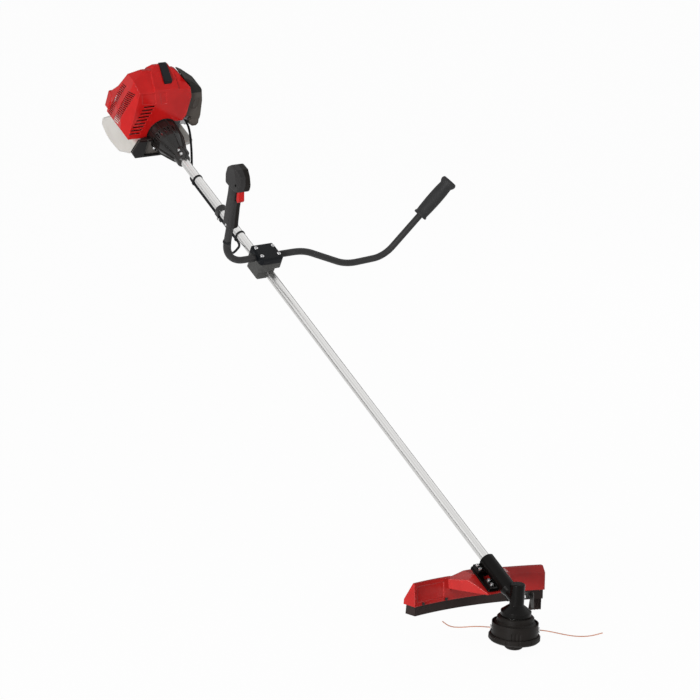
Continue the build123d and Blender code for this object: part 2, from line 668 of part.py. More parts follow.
def crown_gear():
    """Driven bevel gear on the spindle, with a hub up to the upper bearing."""
    gear = Pos(0, 0, GEAR_HEIGHT) * bevel_gear(GEAR_TEETH, GEAR_CONE, 180 + 180 / GEAR_TEETH)
    hub = post(GEAR_HEIGHT + CONE_OUTER * cos(radians(GEAR_CONE)) - 1, UPPER_BEARING_Z, SPINDLE_R + 2.5)
    return gear + hub - post(GEAR_HEIGHT, UPPER_BEARING_Z, SPINDLE_R)


def pinion():
    """Driving bevel gear with the journal that its bearing runs on."""
    gear = Rot(0, 90, 0) * bevel_gear(PINION_TEETH, PINION_CONE, 180)
    back = CONE_OUTER * cos(radians(PINION_CONE))
    collar = rod(back - 0.5, PINION_BEARING_S, PINION_BEARING[0] + 2)
    journal = rod(back - 2, PINION_BEARING_S + PINION_BEARING[2] + 4, PINION_BEARING[0])
    return lower(gear + collar + journal)


def bearings():
    """All ball bearings: two on the spindle, one on the pinion, one on the clutch drum."""
    on_tube = Rot(0, 90, 0)
    return [
        Pos(0, 0, LOWER_BEARING_Z) * ring_bearing(*LOWER_BEARING),
        Pos(0, 0, UPPER_BEARING_Z) * ring_bearing(*UPPER_BEARING),
        lower(Pos(PINION_BEARING_S, 0, 0) * on_tube * ring_bearing(*PINION_BEARING)),
        lower(Pos(DRUM_BEARING_S, 0, 0) * on_tube * ring_bearing(*DRUM_BEARING)),
    ]


# Guard, its wall rolled a little towards the operator's left
ROLLED = Pos(0, 0, GUARD_BOTTOM) * Rot(-GUARD_ROLL, 0, 0) * Pos(0, 0, -GUARD_BOTTOM)


def guard_sweep(*section, half=GUARD_HALF, other=None):
    """Turn a section drawn as (x behind the wall, z) along the guard's shallow arc, left end to right end."""
    centre = GUARD_X + GUARD_ARC_R
    start = degrees(half / GUARD_ARC_R)
    swing = start + degrees((half if other is None else other) / GUARD_ARC_R)
    face = Plane.XZ * outline(*[(-GUARD_ARC_R - x, z) for x, z in section])
    return Pos(centre, 0, 0) * (Rot(0, 0, -start) * revolve(face, Axis.Z, swing))


def wall_x(z):
    """How far the guard's front wall has leaned back at height z."""
    return GUARD_LEAN * (z - GUARD_BOTTOM) / (GUARD_RIDGE - GUARD_BOTTOM)


def guard_tent(inset):
    """Wall, ridge and rear slope of the guard as a solid, drawn in by inset all round and open below."""
    low = GUARD_BOTTOM - 2 * inset
    slope = (GUARD_RIDGE - GUARD_REAR_Z) / (GUARD_REAR - GUARD_LEAN - 4)
    drop = inset * (1 + slope**2) ** 0.5
    top = GUARD_RIDGE - drop
    rear_z = GUARD_REAR_Z - drop + slope * inset
    return guard_sweep(
        (inset + wall_x(low), low), (inset + wall_x(top), top), (GUARD_LEAN + 4, top),
        (GUARD_REAR - inset, rear_z), (GUARD_REAR - inset,
            low), half=GUARD_LEFT - inset, other=GUARD_HALF - inset)


def guard_wing(inset):
    """Deeper part of the guard behind the tube and out to the operator's left, drawn in by inset."""
    low = GUARD_BOTTOM - 2 * inset
    top = GUARD_RIDGE - inset
    return guard_sweep(
        (inset + wall_x(low), low), (inset + wall_x(top), top), (WING_RIDGE - inset / 2, top),
        (WING_REAR - inset, GUARD_REAR_Z), (WING_REAR - inset,
            low), half=GUARD_LEFT - inset, other=WING_START - inset)


def wall_point(y, z, back=0.0):
    """Point of the guard's front wall at y and z, or that far behind it."""
    return Vector(GUARD_X + y**2 / (2 * GUARD_ARC_R) - wall_x(z) - back, y, z)


def guard_creases(inset):
    """What is cut off the wall's top edge: one facet falling to the middle and one on to the left end."""
    middle = wall_point(0, CREASE_MIDDLE)
    ridge = wall_point(0, GUARD_RIDGE, WING_RIDGE - wall_x(GUARD_RIDGE))
    cuts = []
    for end, side in ((wall_point(*CREASE_LEFT), -1), (wall_point(*CREASE_END), 1)):
        normal = (ridge - middle).cross(end - middle).normalized() * -side
        facet = Plane(origin=middle - normal * inset, x_dir=ridge - middle, z_dir=normal)
        ahead = extrude(facet * Rectangle(900, 900), 80)
        cuts.append(ahead & Pos(0, side * 250, 150) * Box(900, 500, 300))
    return cuts


def guard_hump(inset):
    """Raised middle of the guard that fans out from the pad under the gear case to the ridge."""
    plan = outline(
        (HUMP_FRONT_X, -HUMP_HALF_TOP), (HUMP_REAR_X, -HUMP_HALF_BASE),
        (HUMP_REAR_X, HUMP_HALF_BASE), (HUMP_FRONT_X, HUMP_HALF_TOP))
    front = outline(
        (-HUMP_HALF_BASE - 6, HUMP_LOW), (-HUMP_HALF_BASE, GUARD_RIDGE - 3), (-HUMP_HALF_TOP,
            GUARD_RIDGE + HUMP_RISE),
        (HUMP_HALF_TOP, GUARD_RIDGE + HUMP_RISE), (HUMP_HALF_BASE, GUARD_RIDGE - 3), (HUMP_HALF_BASE + 6,
            HUMP_LOW))
    if inset:
        plan = offset(plan, -inset, kind=Kind.INTERSECTION)
        front = offset(front, -inset, kind=Kind.INTERSECTION)
    low = HUMP_LOW - 2 * inset
    column = extrude(Plane.XY.offset(low) * plan, 120)
    slab = extrude(Plane(origin=(HUMP_REAR_X - 20, 0, -2 * inset), x_dir=(0, 1, 0),
        z_dir=(1, 0, 0)) * front, 160)
    under = lower(block(-60, 320, -200, 200, PAD_N - 160, PAD_N - inset))
    return column & slab & under


def wall_panel():
    """Long shallow panel sunk into the wall's front on the operator's right."""
    z0, z1 = WALL_PANEL_Z
    y0, y1 = WALL_PANEL_Y
    return ROLLED * guard_sweep(
        (wall_x(z0) - 3, z0), (wall_x(z0) + WALL_PANEL_DEPTH, z0), (wall_x(z1) + WALL_PANEL_DEPTH, z1),
        (wall_x(z1) - 3, z1), half=-y0, other=y1)


def guard():
    """Tent-shaped guard: front wall, ridge, rear slope, end walls and the raised pad under the gear case."""
    outer = ROLLED * (guard_tent(0) + guard_wing(0) - guard_creases(0)) + guard_hump(0)
    hollow = guard_tent(GUARD_T) + guard_wing(GUARD_T) - guard_creases(GUARD_T)
    inner = ROLLED * hollow + guard_hump(GUARD_T)
    shell = outer - inner
    holes = [lower(upright(PAD_N - 8, PAD_N + 1, M5[0] + SLIP_FIT, s, r)) for s, r in lug_bolts()]
    return shell - holes - skirt_screw_holes() - wall_panel()


def guard_bracket():
    """Pressed plate between the gear case's lugs and the guard's pad."""
    s0 = LUG_PAIRS_S[0][0] - BRACKET_MARGIN
    s1 = LUG_PAIRS_S[1][1] + BRACKET_MARGIN
    plate = extrude(
        Plane.XY.offset(PAD_N) * Pos((s0 + s1) / 2, 0) * RectangleRounded(s1 - s0, 2 * LUG_HALF + 4, 5),
        LUG_N[0] - PAD_N)
    gap = LUG_PAIRS_S[1][0] - LUG_PAIRS_S[0][1]
    middle = LUG_PAIRS_S[0][1] + gap / 2
    window = extrude(Plane.XY.offset(PAD_N) * Pos(middle, 0) * SlotOverall(2 * LUG_HALF - 22, gap - 9,
        rotation=90), 20)
    holes = [upright(PAD_N - 1, LUG_N[0] + 1, M5[0] + SLIP_FIT, s, r) for s, r in lug_bolts()]
    return lower(plate - window - holes)


def flap_section(width):
    """Zigzag strip of the pleated flap, centred on its own middle."""
    step = width / (2 * FLAP_PLEATS)
    depth = 0.42 * step
    front = [(depth * (-1) ** i + SKIRT_T / 2, -width / 2 + step * i) for i in range(2 * FLAP_PLEATS + 1)]
    back = [(x - SKIRT_T, y) for x, y in reversed(front)]
    return outline(*front, *back)


def guard_skirt():
    """Rubber skirt lapped behind the wall's lower edge, with the pleated flap on the operator's left."""
    top = GUARD_BOTTOM + SKIRT_LAP
    front = [(wall_x(z) + GUARD_T, z) for z in (SKIRT_BOTTOM, top)]
    back = [(x + SKIRT_T, z) for x, z in reversed(front)]
    end = GUARD_HALF - GUARD_T
    strip = guard_sweep(*front, *back, half=GUARD_LEFT - GUARD_T, other=end)
    strip += guard_sweep(*front, (SKIRT_RETURN, top), (SKIRT_RETURN, SKIRT_BOTTOM), half=SKIRT_T - end,
        other=end)
    swing = degrees((GUARD_LEFT - GUARD_T - FLAP_LENGTH / 2 - 1) / GUARD_ARC_R)
    radius = -GUARD_ARC_R - GUARD_T - SKIRT_T / 2
    levels = ((FLAP_BOTTOM, 1.0), (SKIRT_BOTTOM + 6, 0.86))
    flap = loft([Plane.XY.offset(z) * flap_section(FLAP_LENGTH * k) for z, k in levels], ruled=True)
    strip += Pos(GUARD_X + GUARD_ARC_R, 0, 0) * Rot(0, 0, -swing) * Pos(radius, 0, 0) * flap
    return ROLLED * strip - skirt_screw_holes()


def on_skirt(y, z, behind):
    """Place on the wall's front face or that far behind it, with +Z out towards the head."""
    lean = degrees(atan2(GUARD_LEAN, GUARD_RIDGE - GUARD_BOTTOM))
    place = Pos(-GUARD_ARC_R - wall_x(z) - behind, 0, z) * Rot(0, 90 - lean, 0)
    return ROLLED * Pos(GUARD_X + GUARD_ARC_R, 0, 0) * Rot(0, 0, -degrees(y / GUARD_ARC_R)) * place


def skirt_screw_places():
    """Where screws hold the skirt to the wall, then where one holds the line cutter to the skirt."""
    places = [on_skirt(y, GUARD_BOTTOM + SKIRT_LAP / 2, 0) for y in SKIRT_SCREWS_Y]
    return places + [on_skirt(*CUTTER_PLACE, GUARD_T)]


def skirt_screw_holes():
    """Holes for the skirt's screws through wall and skirt, clear of the heads."""
    hole = extrude(Circle(M4[0] + SLIP_FIT), -2 * SCREW_LENGTH) + extrude(Circle(M4[1] + FREE_GAP), M4[2] + 2)
    return [place * hole for place in skirt_screw_places()]


def skirt_screws():
    """Screws through wall and skirt, heads on the wall's front; the last one holds the line cutter."""
    *plain, cutter = skirt_screw_places()
    screws = [place * screw(M4, SCREW_LENGTH) for place in plain]
    return screws + [cutter * Pos(0, 0, CUTTER_T + 2 * SLIP_FIT) * screw(M4, SCREW_LENGTH + CUTTER_T)]


def line_cutter():
    """Bent steel blade: a tab on the skirt's front and the upright edge that the spinning line meets."""
    half = CUTTER_TAB / 2
    low = CUTTER_LOW - CUTTER_PLACE[1]
    tab = extrude(RectangleRounded(CUTTER_TAB, CUTTER_TAB, 2), CUTTER_T)
    blade = Plane.XZ.offset(-half) * outline(
        (-half, 0), (-half, CUTTER_REACH - 4), (-half + 4, CUTTER_REACH), (-low, CUTTER_REACH), (-low,
            CUTTER_REACH - 8),
        (half, CUTTER_T), (half, 0))
    cutter = tab + extrude(blade, CUTTER_T) - extrude(Circle(M4[0] + SLIP_FIT), CUTTER_T)
    return skirt_screw_places()[-1] * Pos(0, 0, 2 * SLIP_FIT) * cutter


# Shaft


def shaft_tube():
    """Straight aluminium tube."""
    return lower(rod(TUBE_START, TUBE_END, TUBE_R) - rod(TUBE_START, TUBE_END, TUBE_R - TUBE_WALL))


def shaft_bushings():
    """Fluted bushings that carry the drive shaft inside the tube, evenly spaced."""
    outer = TUBE_R - TUBE_WALL
    section = Circle(outer) - Circle(DRIVE_R + RUN_FIT)
    section -= [Rot(0, 0, 60 * i) * Pos(outer, 0) * Circle(2.4) for i in range(6)]
    pitch = (TUBE_END - TUBE_START) / BUSHING_COUNT
    bushing = extrude(section, BUSHING_LENGTH)
    return [lower(Pos(TUBE_START + pitch * (i + 0.5), 0, 0) * Rot(0, 90,
        0) * bushing) for i in range(BUSHING_COUNT)]


def drive_shaft():
    """Solid shaft from the pinion's journal to the clutch drum."""
    start = PINION_BEARING_S + PINION_BEARING[2] + 4
    return lower(rod(start, DRUM_BEARING_S - 2, DRIVE_R))


# Where the cable lies under the tube
CABLE_REACH = TUBE_R + CABLE_R + 0.3
CABLE_RIGHT = CABLE_REACH * sin(radians(CABLE_TURN))
CABLE_UP = -CABLE_REACH * cos(radians(CABLE_TURN))


def tube_and_cable(tube_r, cable_r):
    """Convex outline round the tube and the cable under it."""
    circles = [Circle(tube_r).edge(), (Pos(CABLE_RIGHT, CABLE_UP) * Circle(cable_r)).edge()]
    return make_hull(circles)


def cable_rings():
    """Rubber rings that hold the cable to the tube, and the one under the throttle grip on the bar."""
    band = tube_and_cable(TUBE_R + RING_T, CABLE_R + RING_T)
    band -= Circle(TUBE_R)
    band -= Pos(CABLE_RIGHT, CABLE_UP) * Circle(CABLE_R)
    rings = [upper(extrude(station(s - RING_WIDTH / 2) * band, RING_WIDTH)) for s in RINGS_S]
    tie = Cylinder(BAR_R + RING_T, RING_WIDTH) - Cylinder(BAR_R, RING_WIDTH)
    return rings + [in_throttle(Pos(0, -BAR_TIE_DROP, 0) * Rot(-90, 0, 0) * tie)]


def hanger_clamp():
    """Clamp band round tube and cable with bolted ears and the eye that the harness hooks into."""
    s0 = HANGER_S - HANGER_WIDTH / 2
    band = tube_and_cable(TUBE_R + HANGER_T, CABLE_R + HANGER_T / 2)
    ears = Pos(HANGER_EAR_SHIFT, -HANGER_EAR_DROP / 2 - 4) * RectangleRounded(
        2 * HANGER_EAR_HALF, HANGER_EAR_DROP - 8, 2)
    clamp = extrude(station(s0) * (band + ears), HANGER_WIDTH)
    eye = make_hull([Circle(TUBE_R + 2).edge(), (Pos(-HANGER_EYE_OUT, 0) * Circle(HANGER_EYE_R)).edge()])
    clamp += extrude(station(HANGER_S - HANGER_EYE_T / 2) * eye, HANGER_EYE_T)
    clamp -= rod(s0 - 1, s0 + HANGER_WIDTH + 1, TUBE_R)
    clamp -= rod(s0 - 1, s0 + HANGER_WIDTH + 1, CABLE_R + FREE_GAP / 2, CABLE_RIGHT, CABLE_UP)
    clamp -= rod(s0, s0 + HANGER_WIDTH, HANGER_HOLE_R, -HANGER_EYE_OUT, 0)
    clamp -= block(s0 - 1, s0 + HANGER_WIDTH + 1, HANGER_EAR_SHIFT - 1, HANGER_EAR_SHIFT + 1,
        -HANGER_EAR_DROP - 1, -8)
    return upper(clamp - across(-30, 20, M5[0] + SLIP_FIT, HANGER_S, 7 - HANGER_EAR_DROP))


# Handlebar


def on_bar(left, height):
    """Point of the handlebar's plane, left of the tube and height over the clamp."""
    lean = radians(BAR_LEAN)
    return (CLAMP_S + height * sin(lean), -left, BAR_N + height * cos(lean))


def bar_path():
    """Axis of the bent bar from the left end to the throttle grip."""
    top = (BAR_RIGHT, THROTTLE_H + BAR_INTO_THROTTLE)
    corners = [BAR_END, BAR_ELBOW, BAR_DIP, BAR_KNEE, (BAR_RIGHT, 0), top]
    return FilletPolyline(*[on_bar(*p) for p in corners], radius=BAR_BENDS)


def handlebar():
    """Bent steel tube."""
    path = bar_path()
    start = Plane(origin=path @ 0, z_dir=path % 0)
    return upper(sweep(start * (Circle(BAR_R) - Circle(BAR_R - BAR_WALL)), path=path))


def left_grip():
    """Rubber grip: barrel with ring grooves, inner flange and closed end cap."""
    length = GRIP_LENGTH
    wall = 3.0
    profile = [(BAR_R, 0), (GRIP_FLANGE_R - 1.5, 0), (GRIP_FLANGE_R, 2), (GRIP_FLANGE_R, 5), (GRIP_R, 9)]
    pitch = (length - 32) / GRIP_GROOVES
    for i in range(GRIP_GROOVES):
        z = 14 + pitch * i
        swell = 1.0 * sin(pi * (z - 9) / (length - 20))
        profile += [(GRIP_R + swell, z), (GRIP_R + swell, z + pitch - 3), (GRIP_R + swell - 1, z + pitch - 2),
                    (GRIP_R + swell - 1, z + pitch - 1)]
    profile += [(GRIP_R, length - 14), (GRIP_CAP_R, length - 7), (GRIP_CAP_R, length - 2),
                (GRIP_CAP_R - 3, length + wall), (0, length + wall), (0, length), (BAR_R, length)]
    grip = turned_on_head(*profile)
    path = bar_path()
    inner = path @ 0 + (path % 0) * length
    return upper(Plane(origin=inner, z_dir=-(path % 0)).location * grip)


def clamp_block(n0, n1, chamfers):
    """Slab of the handle clamp with rounded corners and drafted edges."""
    slab = extrude(Plane.XY.offset(n0) * Pos(CLAMP_S, CLAMP_SHIFT) * RectangleRounded(
        CLAMP_LENGTH, 2 * CLAMP_HALF, 8), n1 - n0)
    if chamfers > 0:
        return chamfer(slab.faces().sort_by(Axis.Z)[-1].edges(), chamfers)
    return chamfer(slab.faces().sort_by(Axis.Z)[0].edges(), -chamfers)


def clamp_bores():
    """Everything that passes through the handle clamp: tube, bar and screws."""
    bores = rod(CLAMP_S - CLAMP_LENGTH, CLAMP_S + CLAMP_LENGTH, TUBE_R)
    bores += across(CLAMP_SHIFT - CLAMP_HALF - 1, CLAMP_SHIFT + CLAMP_HALF + 1, BAR_R, CLAMP_S, BAR_N)
    bores += [upright(CLAMP_BOTTOM - 1, CLAMP_TOP + 1, M6[0] + SLIP_FIT, s, r) for s, r in clamp_bolts()]
    return bores


def clamp_bolts():
    """Places (s, r) of the four clamp screws."""
    return [(CLAMP_S + i * CLAMP_BOLT_S, CLAMP_SHIFT + j * CLAMP_BOLT_R) for i in (-1, 1) for j in (-1, 1)]


def handle_clamp_cap():
    """Top half of the clamp, over the bar."""
    cap = clamp_block(BAR_N + CLAMP_SPLIT / 2, CLAMP_TOP, 4) - clamp_bores()
    sinks = [upright(CLAMP_TOP - 4, CLAMP_TOP + 1, M6[1] + 0.6, s, r) for s, r in clamp_bolts()]
    return upper(cap - sinks)


def handle_clamp_base():
    """Bottom of the clamp: saddle for the bar above, bored for the tube, stepped in towards its foot."""
    top = clamp_block(TUBE_R + 3, BAR_N - CLAMP_SPLIT / 2, -4)
    waist = extrude(
        Plane.XY.offset(CLAMP_BOTTOM) * Pos(CLAMP_S, CLAMP_FOOT_SHIFT) * RectangleRounded(
            CLAMP_LENGTH - 6, 2 * CLAMP_HALF - 18, 7),
        TUBE_R + 4 - CLAMP_BOTTOM)
    waist = chamfer(waist.faces().sort_by(Axis.Z)[0].edges(), 5)
    scallop = [across(CLAMP_SHIFT - CLAMP_HALF, CLAMP_SHIFT + CLAMP_HALF, 8,
        CLAMP_S + i * CLAMP_LENGTH / 2, 0)
               for i in (-1, 1)]
    return upper(top + waist - scallop - clamp_bores())


def handle_clamp_screws():
    """Four long socket screws through cap and base."""
    length = CLAMP_TOP - 4 - TUBE_R - 6
    return [upper(Pos(s, r, CLAMP_TOP - 4) * screw(M6, length)) for s, r in clamp_bolts()]


# Throttle grip

THROTTLE = Plane(
    origin=on_bar(BAR_RIGHT, THROTTLE_H), x_dir=(-cos(radians(BAR_LEAN)), 0,
        sin(radians(BAR_LEAN))), z_dir=(0, 1, 0))


def in_throttle(shape):
    """Place a shape drawn in the throttle grip (towards the fingers, up, right)."""
    return upper(THROTTLE.location * shape)


def thick(points, half, radius=0.0):
    """Outline given the same thickness to both sides."""
    return extrude(outline(*points, radius=radius), half, both=True)


def pin(place, radius, half):
    """Cross pin through the throttle grip."""
    return extrude(Pos(*place) * Circle(radius), half, both=True)


def head_facets(inset):
    """What is cut off both cheeks of the throttle head: one slanted facet falling to the nose each."""
    cuts = []
    for side in (1, -1):
        first, second, nose = (Vector(x, y, side * z) for x, y, z in HEAD_FACET)
        normal = (second - first).cross(nose - first).normalized() * side
        facet = Plane(origin=first - normal * inset, x_dir=second - first, z_dir=normal)
        cuts.append(extrude(facet * Rectangle(200, 200), 60))
    return cuts


def throttle_body():
    """Both halves of the throttle grip as one form, hollow in the head, with all pockets cut."""
    grip = thick(GRIP_SIDE, GRIP_HALF, 4)
    grip = fillet(grip.faces().sort_by(Axis.Z)[-1].edges() + grip.faces().sort_by(Axis.Z)[0].edges(),
        SHELL_ROUND)
    head = thick(HEAD_SIDE, HEAD_HALF, 8)
    head = fillet(head.faces().sort_by(Axis.Z)[-1].edges() + head.faces().sort_by(Axis.Z)[0].edges(),
        HEAD_ROUND)
    head -= head_facets(0)
    nub = Pos(*NUB_PLACE) * Rot(-90, 0, 0) * Cylinder(CABLE_R + 2.4, NUB_LENGTH)
    hollow = extrude(
        offset(outline(*HEAD_SIDE, radius=8),
            -SHELL_WALL), HEAD_HALF - SHELL_WALL - 1, both=True) - head_facets(SHELL_WALL)
    body = grip + head + nub - hollow
    body -= Rot(-90, 0, 0) * Pos(0, 0, BAR_INTO_THROTTLE / 2 - 1) * Cylinder(BAR_R, BAR_INTO_THROTTLE + 2)
    body -= thick(TRIGGER_POCKET, TRIGGER_HALF + FREE_GAP)
    body -= thick(LOCK_POCKET, LOCK_HALF + FREE_GAP)
    slot = Pos(SWITCH_PLACE[0], SWITCH_PLACE[1] + SWITCH_TRAVEL / 2) * Rectangle(
        SWITCH_SIZE[0] + 0.8, SWITCH_SIZE[1] + SWITCH_TRAVEL + 0.8)
    body -= extrude(slot, -HEAD_HALF - 1)
    body -= Pos(*NUB_PLACE) * Rot(-90, 0, 0) * Cylinder(CABLE_R - 0.8, NUB_LENGTH + 2)
    bosses = pin(TRIGGER_PIVOT, TRIGGER_PIN_R + 3, HEAD_HALF - 2) - pin(TRIGGER_PIVOT, TRIGGER_PIN_R + 4,
        TRIGGER_HALF + FREE_GAP)
    bosses += pin(LOCK_PIVOT, LOCK_PIN_R + 2, HEAD_HALF - 2) - pin(LOCK_PIVOT, LOCK_PIN_R + 3,
        LOCK_HALF + FREE_GAP)
    pins = pin(TRIGGER_PIVOT, TRIGGER_PIN_R, HEAD_HALF - 2) + pin(LOCK_PIVOT, LOCK_PIN_R, HEAD_HALF - 2)
    return body, bosses, pins


def throttle_shells():
    """Right and left half of the throttle grip; the right one carries the pivot pins."""
    body, bosses, pins = throttle_body()
    room = 300
    right = Pos(0, 0, room / 2) * Box(2 * room, 2 * room, room)
    left = Pos(0, 0, -room / 2) * Box(2 * room, 2 * room, room)
    whole = body + bosses
    return in_throttle((whole & right) + pins), in_throttle((whole & left) - pins)


def throttle_trigger():
    """Finger trigger on its pin."""
    trigger = thick(TRIGGER_SIDE, TRIGGER_HALF, 2.4) + pin(TRIGGER_PIVOT, 6.5, TRIGGER_HALF)
    return in_throttle(trigger - pin(TRIGGER_PIVOT, TRIGGER_PIN_R + RUN_FIT, TRIGGER_HALF + 1))


def throttle_lock():
    """Palm lever that frees the trigger."""
    lever = thick(LOCK_SIDE, LOCK_HALF, 1.6) + pin(LOCK_PIVOT, 4, LOCK_HALF)
    return in_throttle(lever - pin(LOCK_PIVOT, LOCK_PIN_R + RUN_FIT, LOCK_HALF + 1))


def stop_switch():
    """Thumb slider for stopping the engine, held by its flange inside the left half."""
    x, y = SWITCH_PLACE
    wide, high = SWITCH_SIZE
    button = extrude(Plane.XY.offset(-HEAD_HALF - 2.5) * Pos(x, y) * RectangleRounded(wide, high, 1), 8)
    grooves = [Pos(x, y + d, -HEAD_HALF - 2.5) * Box(wide, 1, 1.2) for d in (-2.4, 0, 2.4)]
    inside = -(HEAD_HALF - SHELL_WALL - 1) + 0.2
    flange = extrude(Plane.XY.offset(inside) * Pos(x, y) * Rectangle(wide + 5, high + 5), 2)
    stem = extrude(Plane.XY.offset(-HEAD_HALF) * Pos(x, y) * Rectangle(wide, high), HEAD_HALF + inside + 1)
    return in_throttle(button - grooves + flange + stem)


# Clutch


def clutch_housing():
    """Ribbed bell: clamp sleeve, seat of the drum's bearing, flange on the crankcase, feet for the stand."""
    bell = turned_on_tube(
        (BELL_START, 0), (BELL_START, TUBE_R + 6), (BELL_START + 2, TUBE_R + 7),
        (TUBE_END - 10, TUBE_R + 8), (TUBE_END - 2, 23),
        (TUBE_END + 39, 37.5), (TUBE_END + 69, 42), (BELL_FLANGE_S, 43), (BELL_FLANGE_S, BELL_FLANGE_R),
        (BELL_END, BELL_FLANGE_R),
        (BELL_END, 0))
    rib = outline((TUBE_END - 16, 10), (TUBE_END - 16, TUBE_R + 10), (TUBE_END + 10, 31),
                  (TUBE_END + 44, 42), (TUBE_END + 72, 45.5), (BELL_FLANGE_S, 46),
                  (BELL_FLANGE_S, 10))
    ribs = [Rot(360 / BELL_RIBS * (i + 0.5), 0, 0) * extrude(rib, 1.5, both=True) for i in range(BELL_RIBS)]
    ear = block(BELL_START, BELL_START + 32, -BELL_EAR_HALF, BELL_EAR_HALF, TUBE_R, BELL_EAR_N)
    bell += fillet(ear.edges().filter_by(Axis.Y), 4)
    bell += ribs
    bell += block(*BELL_FOOT_S, 0, BELL_FOOT_R, *BELL_FOOT_N)
    cavity = DRUM_CLUTCH_R + 2.5
    hollow = turned_on_tube(
        (BELL_START - 1, 0), (BELL_START - 1, TUBE_R + SLIP_FIT), (TUBE_END, TUBE_R + SLIP_FIT),
        (TUBE_END, 9),
        (DRUM_BEARING_S, 9), (DRUM_BEARING_S, DRUM_BEARING[1]), (TUBE_END + 22, DRUM_BEARING[1]),
        (TUBE_END + 48, 26),
        (TUBE_END + 50, cavity), (BELL_END + 1, cavity), (BELL_END + 1, 0))
    slit = block(BELL_START - 1, BELL_START + 34, -1.2, 1.2, 0, BELL_EAR_N + 1)
    holes = [across(-BELL_EAR_HALF - 1, BELL_EAR_HALF + 1, M5[0] + SLIP_FIT, s,
        BELL_EAR_N - 6) for s in BELL_BOLTS_S]
    vent = block(TUBE_END + 51, TUBE_END + 69, -2, 2, 34, 60)
    vents = [Rot(90 + 36 * k + d, 0, 0) * vent for k in range(10) for d in (-7, 7)]
    return upper(bell - hollow - slit - holes - vents)


def clutch_drum():
    """Cup on the drive shaft that the clutch shoes grip."""
    s0, s1 = DRUM_CLUTCH_S
    inner = DRUM_CLUTCH_R - DRUM_CLUTCH_WALL
    return upper(turned_on_tube(
        (DRUM_BEARING_S - 2, 0), (DRUM_BEARING_S - 2, DRUM_BEARING[0]), (TUBE_END + 34, DRUM_BEARING[0]),
        (TUBE_END + 40, 10),
        (s0, 12), (s0, DRUM_CLUTCH_R), (s1, DRUM_CLUTCH_R), (s1, inner), (s0 + 3, inner), (s0 + 3, 0)))


def clutch_shoes():
    """Two weighted shoes on the carrier."""
    s0, s1 = SHOE_S
    ring = Circle(SHOE_R) - Circle(16)
    shoe = ring & Pos(0, 25) * Rectangle(2 * SHOE_R, 44)
    return [upper(Rot(turn, 0, 0) * extrude(station(s0) * shoe, s1 - s0)) for turn in (0, 180)]


def crankshaft():
    """Crankshaft with the clutch carrier at its front end."""
    carrier = SHOE_S[1]
    return upper(turned_on_tube(
        (CRANK_S[0], 0), (CRANK_S[0], CRANK_END_R), (carrier, CRANK_END_R), (carrier, CARRIER_R),
        (carrier + CARRIER_T, CARRIER_R), (carrier + CARRIER_T, CRANK_R), (CASE_END + 2, CRANK_R),
        (CASE_END + 2, CRANK_END_R), (CRANK_S[1], CRANK_END_R), (CRANK_S[1], 0)))


# Engine block


def crankcase():
    """Cast crankcase between clutch housing and starter, bored for the crankshaft."""
    half = CRANKCASE_HALF
    body = extrude(
        station(BELL_END) * outline((-half, -half + 14), (-half + 14, -half), (half - 14, -half),
            (half, -half + 14),
                                    (half, 26), (half - 14, FIN_START), (-half + 14, FIN_START), (-half, 26)),
        CASE_END - BELL_END)
    body += rod(CASE_END - 6, CASE_END, STARTER_R)
    ribs = [block(BELL_END + 18 * i, BELL_END + 18 * i + 4, -half - 4, half + 4, -30,
        20) for i in range(1, 4)]
    port = block(TUBE_END + 124, TUBE_END + 154, CARB_RIGHT[1], -half, 2, 24)
    return upper(body + ribs + port - rod(BELL_END - 1, CASE_END + 1, CRANK_R + RUN_FIT))


def cylinder():
    """Finned cylinder on the crankcase with exhaust port and plug boss."""
    fin = Pos(CYLINDER_S, 0) * RectangleRounded(2 * FIN_HALF[0], 2 * FIN_HALF[1], 10)
    top = FIN_START + FIN_COUNT * FIN_PITCH
    body = upright(FIN_START, top, CYLINDER_CORE_R, CYLINDER_S, 0)
    body += [extrude(Plane.XY.offset(FIN_START + FIN_PITCH * (i + 0.6)) * fin,
        FIN_T) for i in range(FIN_COUNT)]
    body += upright(top - 4, top + 8, 13, CYLINDER_S, PLUG_RIGHT)
    body += block(CYLINDER_S - 18, CYLINDER_S + 18, 0, 48, 66, 98)
    return upper(body - upright(top - 2, top + 9, 6, CYLINDER_S, PLUG_RIGHT))


def spark_plug():
    """Spark plug: thread, hexagon, insulator and terminal."""
    seat = FIN_START + FIN_COUNT * FIN_PITCH + 8
    plug = upright(seat - 10, seat, 6, 0, 0)
    plug += extrude(Plane.XY.offset(seat) * RegularPolygon(9, 6), 8)
    plug += upright(seat + 8, seat + 22, 5, 0, 0) + upright(seat + 22, seat + 28, 3, 0, 0)
    return upper(Pos(CYLINDER_S, PLUG_RIGHT, 0) * plug)


def spark_plug_boot():
    """Rubber boot over the plug that fills the slot in the cover's nose."""
    right0, right1 = BOOT_RIGHT
    boot = extrude(flank(right1) * outline(*BOOT_SIDE, radius=2), right1 - right0)
    seat = FIN_START + FIN_COUNT * FIN_PITCH + 16
    boot += upright(seat + 0.5, BOOT_SIDE[0][1] + 4, 9, CYLINDER_S, PLUG_RIGHT)
    boot -= upright(seat, seat + 14.2, 5.2, CYLINDER_S, PLUG_RIGHT)
    return upper(boot - upright(seat + 14, seat + 20.2, 3.2, CYLINDER_S, PLUG_RIGHT))


def muffler():
    """Pressed muffler box on the exhaust port, with the seam flange round it and its outlet."""
    box = block(TUBE_END + 106, TUBE_END + 164, 48, 101, 24, 122)
    box = fillet(box.edges().filter_by(Axis.Y), 12)
    seam = extrude(flank(74) * Pos(TUBE_END + 135, 73) * RectangleRounded(62, 104, 14), 3)
    outlet = Pos(TUBE_END + 135, 101, 44) * Rot(-90, 0, 0) * Cylinder(8, 8)
    return upper(box + seam + outlet)


